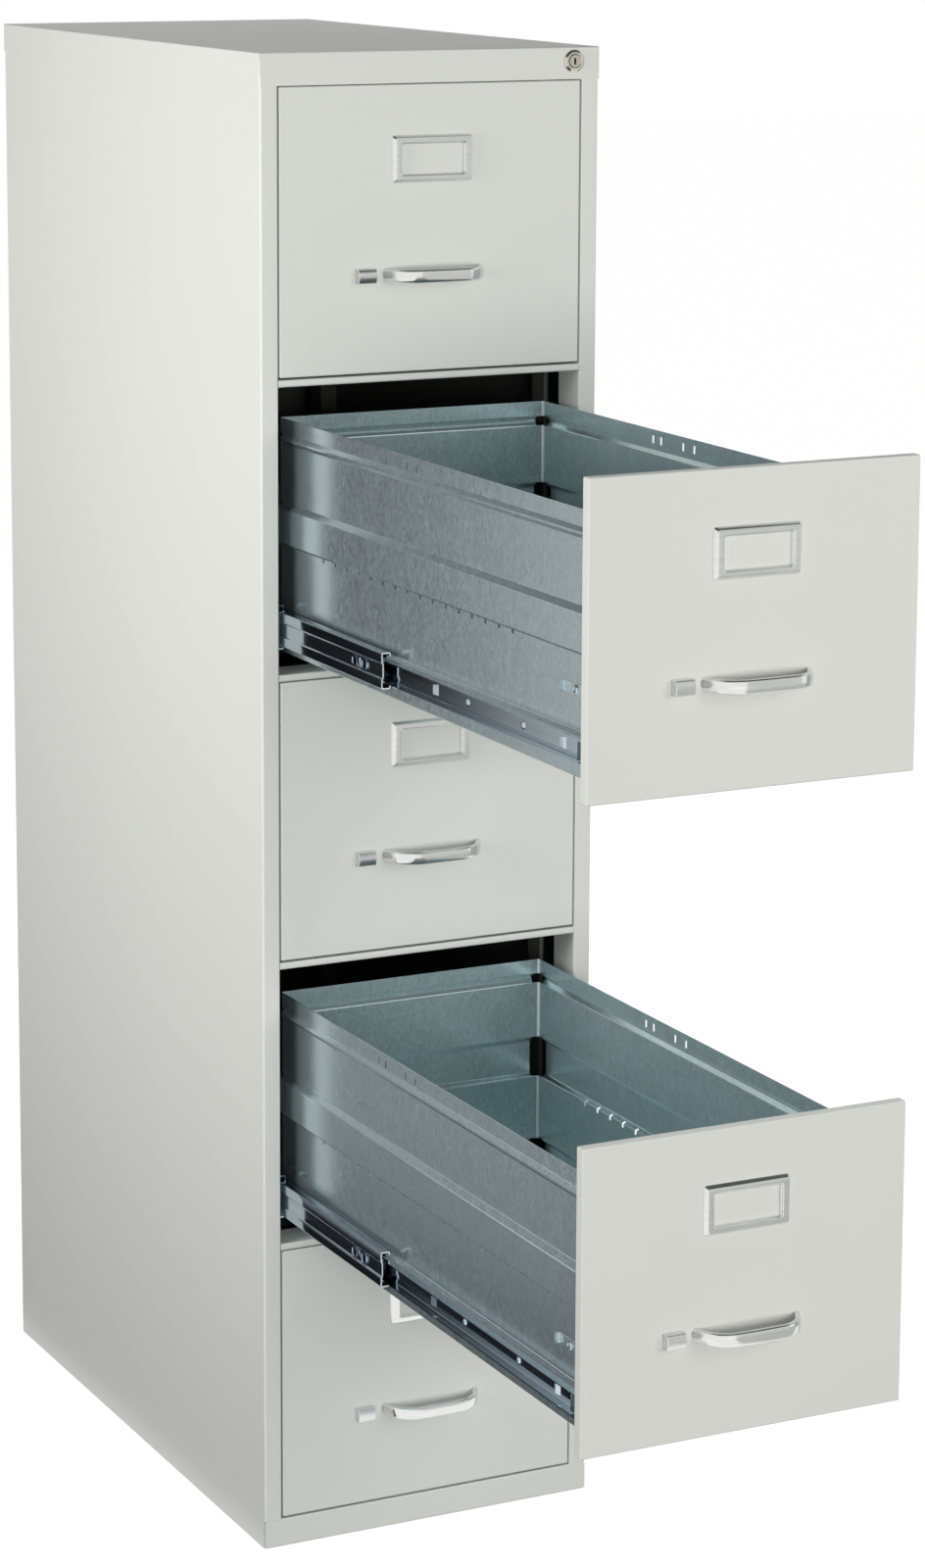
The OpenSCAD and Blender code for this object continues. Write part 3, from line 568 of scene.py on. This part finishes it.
class VERTICAL_FILE_OT_label_frames(bpy.types.Operator):
    """Form the label frames: one loop, drawn out and in along the frame's section"""

    bl_idname = "vertical_file.label_frames"
    bl_label = "Label frames"

    # Each loop in mm: how much narrower and lower than the frame, corner radius, distance from the drawer
    section = (
        (0, 0, 3.2, 0), (0, 0, 3.2, 0.8), (3.8, 3.8, 2.4, 3.7), (5.0, 5.0, 2.0, 4.3), (6.4, 6.4, 1.6, 4.5),
        (16.4, 13.8, 3.4, 4.5), (17.6, 15.0, 3.0, 4.2), (18.6, 16.0, 2.6, 3.0), (19.6, 16.8, 2.4, 2.9),
        (20.4, 17.4, 2.2, 2.4), (21.2, 18.0, 2.0, 0), (0, 0, 3.2, 0),
    )

    def execute(self, context):
        for n in DRAWERS:
            low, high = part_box(f"drawer_{n}_label_frame")
            half = Vector(((high.x - low.x) / 2, 0, (high.z - low.z) / 2)) / MM
            bm = bmesh.new()
            face = rectangle(bm, half.x, half.z)
            bmesh.ops.bevel(bm, geom=list(face.verts), offset=self.section[0][2], segments=5, profile=0.5,
                            affect="VERTICES", material=-1)
            bmesh.ops.delete(bm, geom=bm.faces[:], context="FACES_ONLY")
            loop = bm.edges[:]
            for before, after in zip(self.section, self.section[1:]):
                made = bmesh.ops.extrude_edge_only(bm, edges=loop)["geom"]
                loop = [e for e in made if isinstance(e, bmesh.types.BMEdge)]
                for vert in {v for e in loop for v in e.verts}:
                    self.carry(vert, half, before, after)
            outward(bm)
            smoothed(bm, 22)
            at = Vector(((low.x + high.x) / 2, drawer_place(n).y, (low.z + high.z) / 2))
            piece(f"drawer_{n}_label_frame_formed", placed(bm, at), f"drawer_{n}", "bright_pull",
                  f"drawer_{n}_label_frame")
        return {"FINISHED"}

    def carry(self, vert, half, before, after):
        """Moves a point of a rounded rectangle to the same point of the next one."""
        for axis, k in ((0, 0), (2, 1)):
            side = math.copysign(1, vert.co[axis])
            part = (abs(vert.co[axis]) - half[axis] + before[k] / 2 + before[2]) / before[2]
            vert.co[axis] = side * (half[axis] - after[k] / 2 - after[2] + after[2] * part)
        vert.co.y = -after[3]


class VERTICAL_FILE_OT_thumb_latches(bpy.types.Operator):
    """Shape the thumb latches, with a crowned face, and finish the bars that they move"""

    bl_idname = "vertical_file.thumb_latches"
    bl_label = "Thumb latches"

    # In mm: the head's gap to the drawer, the stem's way in from the head's left end, and the rivet's
    # place behind the drawer's face with the stretch of the arm round it
    head_gap = 0.5
    stem_in = 2
    rivet_back = 28
    rivet_stretch = 10

    def execute(self, context):
        for n in DRAWERS:
            low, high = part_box(f"drawer_{n}_thumb_latch")
            face_y = drawer_place(n).y
            width, height = (high.x - low.x) / MM, (high.z - low.z) / MM
            front, back = (low.y - face_y) / MM, -self.head_gap
            bm = bmesh.new()
            x, z, crown = width / 2, height / 2, sizes().thumb_crown / MM
            edge = front + crown
            # The section is a chord with an arc in front of it, drawn out to the latch's width
            side = flat_face(bm, [(-x, edge, -z), (-x, back, -z), (-x, back, z), (-x, edge, z)])
            rim = next(e for e in side.edges if all(abs(v.co.y - edge) < NEAR for v in e.verts))
            bmesh.ops.subdivide_edges(bm, edges=[rim], cuts=15)
            for vert in bm.verts:
                if abs(vert.co.y - edge) < NEAR:
                    vert.co.y -= crown * (1 - (vert.co.z / z) ** 2)
            pushed(bm, bm.faces[:][0], (width, 0, 0))
            bmesh.ops.recalc_face_normals(bm, faces=bm.faces)
            outer = [e for e in bm.edges if e.calc_face_angle(0) > math.radians(40)
                     and all(v.co.y < edge + NEAR for v in e.verts)]
            bmesh.ops.bevel(bm, geom=outer, offset=sizes().thumb_edge / MM, segments=3, profile=0.5,
                            affect="EDGES", material=-1)
            # The stem that goes through the slot in the front
            left, stem_z, stem_back = self.stem_in - x, height / 4, (high.y - face_y) / MM
            stem = flat_face(bm, [(left, back, -stem_z), (0, back, -stem_z), (0, back, stem_z),
                                  (left, back, stem_z)])
            pushed(bm, stem, (0, stem_back - back, 0))
            bmesh.ops.recalc_face_normals(bm, faces=bm.faces)
            smoothed(bm, 35)
            at = Vector(((low.x + high.x) / 2, face_y, (low.z + high.z) / 2))
            latch = even_shading(piece(f"drawer_{n}_thumb_latch_cast", placed(bm, at), f"latch_{n}",
                                       "bright_pull", f"drawer_{n}_thumb_latch"))
            latch.data.materials[0] = finish("satin")
            # The bars have the same galvanised look as the boxes
            bar = dressed(f"drawer_{n}_latch_bar", f"drawer_{n}_latch_bar_bent", "zinc_steel")
            bar.data.materials[0] = finish("galvanised_steel")
            self.ring(n)
        return {"FINISHED"}

    def ring(self, n):
        """The rivet that joins a latch bar's arm to its link, on the arm's outer side."""
        low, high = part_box(f"drawer_{n}_latch_bar")
        rim = [(2.2, 0.2), (2.2, -0.9), (2.7, -1.6), (3.7, -1.6), (4.4, -0.8), (4.4, 0.2)]
        bm = turned(bmesh.new(), rim, 24)
        turn = Euler((0, 0, -math.pi / 2)).to_matrix()
        bmesh.ops.rotate(bm, verts=bm.verts, cent=(0, 0, 0), matrix=turn)
        outward(bm)
        smoothed(bm, 40)
        at = Vector((self.arm_face(n), drawer_place(n).y + self.rivet_back * MM, (low.z + high.z) / 2))
        piece(f"drawer_{n}_latch_rivet", placed(bm, at), f"latch_{n}", "zinc_steel")

    def arm_face(self, n):
        """The outer side of a latch bar's arm, away from the hook."""
        end = drawer_place(n).y + (self.rivet_back + self.rivet_stretch) * MM
        return min(v.co.x for v in NODES[f"drawer_{n}_latch_bar"].data.vertices if v.co.y < end)


class VERTICAL_FILE_OT_slides(bpy.types.Operator):
    """Smooth the slides' sections and add their balls, cages, lances and rivets"""

    bl_idname = "vertical_file.slides"
    bl_label = "Slides"

    # Stops, lances and rivets behind the drawer's face, and holes behind a middle member's front end, in mm
    stop = 26
    lances = (59, 315)
    rivets = (142, 254)
    eyelets = (40, 62)
    # Depth of the web in an inner member, and the balls and cages in a middle member, in mm
    web_depth = 8.2
    sheet = 1.2
    row_depth = 5.6
    ball_count, first_ball, ball_pitch = 6, 9, 22
    cage_size, cage_middle = (2.2, 124, 3.4), 64

    def execute(self, context):
        dressed("outer_slides", "outer_slides_rolled", "zinc_steel")
        for n in DRAWERS:
            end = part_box(f"drawer_{n}_middle_slides")[0].y

            def sheared(face):
                return face.normal.y < -0.9 and abs(face.calc_center_median().y - end) < JOIN

            # A middle member's sheared front end takes the near-white painted highlight
            dressed(f"drawer_{n}_middle_slides", f"drawer_{n}_middle_slides_rolled", "zinc_steel",
                    inside=sheared, linings=("painted_highlight_edge",))
            dressed(f"drawer_{n}_inner_slides", f"drawer_{n}_inner_slides_rolled", "zinc_steel")
            self.fittings(n)
            self.eyes(n)
            self.bearings(n)
        return {"FINISHED"}

    def fittings(self, n):
        """Lances, rivets and end plates in the channels of the inner members."""
        low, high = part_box(f"drawer_{n}_inner_slides")
        web = high.x - self.web_depth * MM
        middle_z, face_y = (low.z + high.z) / 2, drawer_place(n).y
        bm = bmesh.new()
        for side in SIDES:
            self.end_plate(bm, side, Vector((side * web, face_y + self.stop * MM, middle_z)))
            for back in self.lances:
                self.lance(bm, side, Vector((side * web, face_y + back * MM, middle_z)))
            for back in self.rivets:
                self.rivet(bm, side, Vector((side * web, face_y + back * MM, middle_z)))
        smoothed(bm, 40)
        piece(f"drawer_{n}_slide_fittings", bm, f"drawer_{n}", "zinc_steel")

    def join(self, bm, other, side, at):
        """Turns a part that points along Y to face out of a channel, and adds it to a mesh."""
        turn = Euler((0, 0, -side * math.pi / 2)).to_matrix()
        bmesh.ops.rotate(other, verts=other.verts, cent=(0, 0, 0), matrix=turn)
        outward(other)
        placed(other, at)
        part = bpy.data.meshes.new("part")
        other.to_mesh(part)
        other.free()
        bm.from_mesh(part)
        bpy.data.meshes.remove(part)

    def lance(self, bm, side, at):
        """A tongue cut in the web and bent out, with its hinge towards the drawer's front."""
        part = bmesh.new()
        long, rise, root_z, tip_z = 7, 2.8, 5.5, 4.5
        tongue = flat_face(part, [(0, 0, -root_z), (-side * long, rise, -tip_z), (-side * long, rise, tip_z),
                                  (0, 0, root_z)])
        pushed(part, tongue, (0, -self.sheet, 0))
        bmesh.ops.recalc_face_normals(part, faces=part.faces)
        free = [e for e in part.edges if all(v.co.y > rise / 2 for v in e.verts)]
        bmesh.ops.bevel(part, geom=free, offset=0.3, segments=2, profile=0.5, affect="EDGES", material=-1)
        self.join(bm, part, side, at)

    def end_plate(self, bm, side, at):
        """A tab that is bent across a channel near its front end."""
        part = bmesh.new()
        half, wide, corner_r = 9, 6.5, 2.5
        tab = flat_face(part, [(0, 0, -half), (0, wide, -half), (0, wide, half), (0, 0, half)])
        corners = [v for v in tab.verts if v.co.y > wide / 2]
        bmesh.ops.bevel(part, geom=corners, offset=corner_r, segments=4, profile=0.5, affect="VERTICES",
                        material=-1)
        pushed(part, part.faces[:][0], (-side * self.sheet, 0, 0))
        self.join(bm, part, side, at)

    def eyes(self, n):
        """Pressed eyelets in the holes near a middle member's front end, with a pad between them."""
        low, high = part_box(f"drawer_{n}_middle_slides")
        middle_z = (low.z + high.z) / 2
        ring = [(5.1, -1.2), (5.1, 0), (6.3, 0), (6.3, 0.3), (4.6, 0.3), (4.1, -0.2), (4.1, -1.2),
                (5.1, -1.2)]
        pad_x, pad_z, pad_rise = 4.4, 5, 0.45
        bm = bmesh.new()
        for side in SIDES:
            face = Vector((side * high.x, low.y, middle_z))
            for back in self.eyelets:
                self.join(bm, turned(bmesh.new(), ring, 28), side, face + Vector((0, back * MM, 0)))
            pad = bmesh.new()
            far = pushed(pad, rectangle(pad, pad_x, pad_z), (0, pad_rise, 0))
            bmesh.ops.scale(pad, vec=(0.3, 1, 0.7), verts=far.verts)
            self.join(bm, pad, side, face + Vector((0, sum(self.eyelets) / 2 * MM, 0)))
        smoothed(bm, 30)
        piece(f"drawer_{n}_slide_eyelets", bm, f"middle_{n}", "zinc_steel")

    def rivet(self, bm, side, at):
        """A domed rivet head over one of the web's holes."""
        dome = [(0, 1.8), (1.7, 1.6), (3.1, 1.0), (4.0, 0.1), (4.0, -0.2), (0, -0.2)]
        self.join(bm, turned(bmesh.new(), dome, 24), side, at)

    def bearings(self, n):
        """Rows of balls and their cages at the front of the middle members."""
        low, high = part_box(f"drawer_{n}_middle_slides")
        inner_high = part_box(f"drawer_{n}_inner_slides")[1]
        # The balls run halfway between the flanges of the two members
        race = (high.z - self.sheet * MM + inner_high.z) / 2
        middle_z = (low.z + high.z) / 2
        radius = sizes().ball_radius
        row_x = high.x - self.row_depth * MM
        balls, cages = bmesh.new(), bmesh.new()
        for side in SIDES:
            for up in SIDES:
                z = middle_z + up * (race - middle_z)
                for k in range(self.ball_count):
                    y = low.y + (self.first_ball + self.ball_pitch * k) * MM
                    at = Matrix.Translation((side * row_x, y, z))
                    bmesh.ops.create_icosphere(balls, subdivisions=2, radius=radius, matrix=at)
                at = Matrix.Translation((side * row_x, low.y + self.cage_middle * MM, z))
                strip = at @ Matrix.Diagonal((*[length * MM for length in self.cage_size], 1))
                made = bmesh.ops.create_cube(cages, size=1, matrix=strip)["verts"]
                rims = list({e for v in made for e in v.link_edges})
                bmesh.ops.bevel(cages, geom=rims, offset=0.4 * MM, segments=2, profile=0.5, affect="EDGES",
                                material=-1)
        smoothed(balls, 60)
        smoothed(cages, 35)
        piece(f"drawer_{n}_slide_balls", balls, f"middle_{n}", "lock_nickel")
        # The ball cages are real parts; their black also stands in as painted shade in the channel behind a
        # middle member's front end
        piece(f"drawer_{n}_ball_cages", cages, f"middle_{n}", "black_steel")


class VERTICAL_FILE_OT_lock(bpy.types.Operator):
    """Turn the lock's face and finish the bar that it lifts"""

    bl_idname = "vertical_file.lock"
    bl_label = "Lock"

    def execute(self, context):
        low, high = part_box("lock_housing")
        at = Vector(((low.x + high.x) / 2, low.y, (low.z + high.z) / 2))
        long = (high.y - low.y) / MM
        # The face's steps, its rim, and the barrel behind it
        ring = [(6.6, 0.9), (7.4, 0.25), (8.1, 0.25), (8.6, 0), (9.4, 0), (11.1, 1.2), (11.5, 1.7),
                (11.5, 3), (9.5, 3), (9.5, long), (6.6, long), (6.6, 0.9)]
        bm = outward(turned(bmesh.new(), ring, 64))
        smoothed(bm, 30)
        piece("lock_housing_turned", placed(bm, at), "case", "lock_nickel", "lock_housing")

        front, rim_r = low.y + 1 * MM, 0.35 * MM

        def outer(edge):
            return edge.calc_face_angle(0) > math.radians(60) and all(v.co.y < front for v in edge.verts)

        dressed("lock_plug", "lock_plug_turned", "lock_nickel", 35, rim_r, 2, outer)
        painted("lock_nickel", "lock_cam")
        painted("zinc_steel", "lock_bar", "lock_fingers")
        return {"FINISHED"}


class VERTICAL_FILE_OT_stage(bpy.types.Operator):
    """Set the floor, the light and the camera"""

    bl_idname = "vertical_file.stage"
    bl_label = "Stage"

    # Cards that only metal and gloss see, as the walls of a studio: two opposite corners in metres, and
    # the greys at the near and the far end
    cards = (
        ("Card_left_near", (-1.4, -0.3, 0), (-1.4, 1.2, 1.6), "#DFDEDA", "#DFDEDA"),
        ("Card_left_mid", (-1.4, 1.2, 0), (-1.4, 1.85, 1.6), "#DFDEDA", "#141618"),
        ("Card_left_far", (-1.4, 1.85, 0), (-1.4, 4, 1.6), "#141618", "#141618"),
        ("Card_low_near", (-0.68, -0.4, 0.001), (-0.21, 4, 0.001), "#1A1C1F", "#1A1C1F"),
        ("Card_low_far", (-3, -0.4, 0.001), (-0.68, 4, 0.001), "#85888A", "#85888A"),
        ("Card_back", (-3, 4, 0), (3.5, 4, 2.0), "#1B1D1F", "#1B1D1F"),
        ("Card_back_left", (-3, 3.99, 2.0), (-1.2, 3.99, 2.25), "#1B1D1F", "#1B1D1F"),
        ("Card_back_high", (-3, 4, 2.5), (-0.2, 4, 3.6), "#6E7174", "#6E7174"),
        ("Card_ceiling", (-3, -4, 3.6), (3.5, 4, 3.6), "#5A5C5C", "#5A5C5C"),
        ("Card_right", (0.6, -3.5, 0), (3.6, -3.5, 2.4), "#D8D9D6", "#D8D9D6"),
        ("Card_right_far", (1.6, -1.4, 0), (1.6, 2.0, 1.6), "#AEB1B2", "#AEB1B2"),
        ("Card_right_low", (0.3, -3.5, 0.001), (3.6, -1.2, 0.001), "#C6C7C4", "#C6C7C4"),
    )
    # Lamps: place, point that they face and size in metres, and power in watts
    lamps = (
        ("Side_lamp", (-1.95, -0.4, 1.5), (0, -0.2, 1.1), (1.3, 1.2), 37),
        ("Front_lamp", (-1.4, -7.5, 1.3), (0, -0.3, 0.9), (3.0, 2.0), 288),
        ("Right_lamp", (1.8, -3.8, 2.0), (0, -0.3, 1.0), (1.6, 2.0), 34),
        ("Right_fill", (2.8, 0.5, 0.8), (0, 0.2, 0.8), (1.6, 1.2), 38),
        ("Rear_fill", (-0.4, 3.2, 0.7), (0, 0.3, 0.8), (1.6, 1.2), 32),
        ("Back_lamp", (1.6, 3.2, 2.2), (0, 0.2, 0.9), (2.0, 2.0), 91),
    )
    # Half the floor's side in metres, how bright the floor looks to the camera and to metal, and how much
    # light the world adds to paint
    floor_half = 20
    floor_glow = 0.975
    fill = 0.19
    # The camera that was fitted to the photograph: lens in mm, shift, place in metres and turn in degrees
    lens = 95.04
    shift = -0.15
    eye_place = (-1.8395, -4.1203, 1.7600)
    eye_turn = (80.374, -0.253, -26.474)

    def execute(self, context):
        self.floor()
        for name, low, high, start, end in self.cards:
            self.card(name, Vector(low), Vector(high), linear(start), linear(end))
        self.world(context.scene)
        for lamp in self.lamps:
            self.softbox(*lamp)
        camera = bpy.data.cameras.new("Camera")
        camera.lens = self.lens
        camera.sensor_width = 36
        camera.shift_y = self.shift
        camera.clip_end = 60
        eye = bpy.data.objects.new("Camera", camera)
        eye.location = self.eye_place
        eye.rotation_euler = [math.radians(a) for a in self.eye_turn]
        context.scene.collection.objects.link(eye)
        context.scene.camera = eye
        context.scene.view_settings.view_transform = "Standard"
        return {"FINISHED"}

    def seen(self, tree):
        """1 for rays from the camera and off metal or through glass, which see a white studio."""
        rays = add(tree, "ShaderNodeLightPath")
        one = add(tree, "ShaderNodeMath", {"operation": "MAXIMUM"},
                  {0: rays.outputs["Is Camera Ray"], 1: rays.outputs["Is Glossy Ray"]})
        return add(tree, "ShaderNodeMath", {"operation": "MAXIMUM"},
                   {0: one.outputs[0], 1: rays.outputs["Is Transmission Ray"]}).outputs[0]

    def floor(self):
        """A pale floor that looks white and keeps the object's shadow."""
        bm = bmesh.new()
        bmesh.ops.create_grid(bm, x_segments=1, y_segments=1, size=self.floor_half)
        mesh = bpy.data.meshes.new("Floor")
        bm.to_mesh(mesh)
        bm.free()
        material = bpy.data.materials.new("studio_paper")
        material.use_nodes = True
        tree = material.node_tree
        tree.nodes.clear()
        paper = add(tree, "ShaderNodeBsdfDiffuse", None, {"Color": linear("#5A5A59")})
        share = add(tree, "ShaderNodeMath", {"operation": "MULTIPLY"},
                    {0: self.seen(tree), 1: self.floor_glow})
        white = add(tree, "ShaderNodeEmission", None, {"Strength": share.outputs[0]})
        both = add(tree, "ShaderNodeAddShader", None, {0: paper.outputs[0], 1: white.outputs[0]})
        add(tree, "ShaderNodeOutputMaterial", None, {"Surface": both.outputs[0]})
        mesh.materials.append(material)
        obj = bpy.data.objects.new("Floor", mesh)
        bpy.context.scene.collection.objects.link(obj)

    def card(self, name, low, high, start, end):
        """An upright or level card between two corners, with a colour that changes along Y."""
        bm = bmesh.new()
        across = Vector((0, high.y - low.y, 0)) if low.x == high.x else Vector((high.x - low.x, 0, 0))
        flat_face(bm, [low, low + across, high, high - across])
        mesh = bpy.data.meshes.new(name)
        bm.to_mesh(mesh)
        bm.free()
        material = bpy.data.materials.new(name.lower())
        material.use_nodes = True
        tree = material.node_tree
        tree.nodes.clear()
        place = add(tree, "ShaderNodeTexCoord")
        along = add(tree, "ShaderNodeSeparateXYZ", None, {0: place.outputs["Object"]})
        part = add(tree, "ShaderNodeMapRange", None,
                   {"Value": along.outputs["Y"], 1: low.y, 2: max(high.y, low.y + 1 * MM)})
        blend = add(tree, "ShaderNodeMix", {"data_type": "RGBA"}, {0: part.outputs[0], 6: start, 7: end})
        grey = add(tree, "ShaderNodeEmission", None, {"Color": blend.outputs[2], "Strength": 1})
        add(tree, "ShaderNodeOutputMaterial", None, {"Surface": grey.outputs[0]})
        mesh.materials.append(material)
        obj = bpy.data.objects.new(name, mesh)
        obj.visible_camera = obj.visible_diffuse = obj.visible_shadow = False
        bpy.context.scene.collection.objects.link(obj)

    def world(self, scene):
        """White behind the object and in its metal, and a dimmer fill on its paint."""
        world = bpy.data.worlds.new("Studio")
        world.use_nodes = True
        tree = world.node_tree
        tree.nodes.clear()
        white = add(tree, "ShaderNodeBackground", None, {"Color": (1, 1, 1, 1), "Strength": 1})
        dim = add(tree, "ShaderNodeBackground", None, {"Color": (1, 1, 1, 1), "Strength": self.fill})
        both = add(tree, "ShaderNodeMixShader", None,
                   {0: self.seen(tree), 1: dim.outputs[0], 2: white.outputs[0]})
        add(tree, "ShaderNodeOutputWorld", None, {"Surface": both.outputs[0]})
        scene.world = world

    def softbox(self, name, at, aim, size, power):
        """A large soft lamp that faces a point."""
        lamp = bpy.data.lights.new(name, "AREA")
        lamp.shape = "RECTANGLE"
        lamp.size, lamp.size_y = size
        lamp.energy = power
        obj = bpy.data.objects.new(name, lamp)
        obj.location = at
        obj.rotation_euler = (Vector(aim) - Vector(at)).to_track_quat("-Z", "Y").to_euler()
        obj.visible_glossy = obj.visible_camera = False
        bpy.context.scene.collection.objects.link(obj)


STEPS = (
    VERTICAL_FILE_OT_case,
    VERTICAL_FILE_OT_drawers,
    VERTICAL_FILE_OT_pulls,
    VERTICAL_FILE_OT_label_frames,
    VERTICAL_FILE_OT_thumb_latches,
    VERTICAL_FILE_OT_slides,
    VERTICAL_FILE_OT_lock,
    VERTICAL_FILE_OT_stage,
)


class VERTICAL_FILE_PT_looks(bpy.types.Panel):
    """Lists the steps, the sizes and the colours"""

    bl_label = "Vertical file"
    bl_idname = "VERTICAL_FILE_PT_looks"
    bl_space_type = "VIEW_3D"
    bl_region_type = "UI"
    bl_category = "Vertical file"

    def draw(self, context):
        for group in (context.scene.file_sizes, context.scene.file_colours):
            for name in group.__annotations__:
                self.layout.prop(group, name)
        for step in STEPS:
            self.layout.operator(step.bl_idname)


CLASSES = (FileSizes, FileColours, *STEPS, VERTICAL_FILE_PT_looks)


def register():
    for cls in CLASSES:
        bpy.utils.register_class(cls)
    bpy.types.Scene.file_sizes = bpy.props.PointerProperty(type=FileSizes)
    bpy.types.Scene.file_colours = bpy.props.PointerProperty(type=FileColours)


def unregister():
    del bpy.types.Scene.file_colours
    del bpy.types.Scene.file_sizes
    for cls in reversed(CLASSES):
        bpy.utils.unregister_class(cls)


def main():
    register()
    bpy.ops.vertical_file.case()
    bpy.ops.vertical_file.drawers()
    bpy.ops.vertical_file.pulls()
    bpy.ops.vertical_file.label_frames()
    bpy.ops.vertical_file.thumb_latches()
    bpy.ops.vertical_file.slides()
    bpy.ops.vertical_file.lock()
    bpy.ops.vertical_file.stage()


if __name__ == "__main__":
    main()
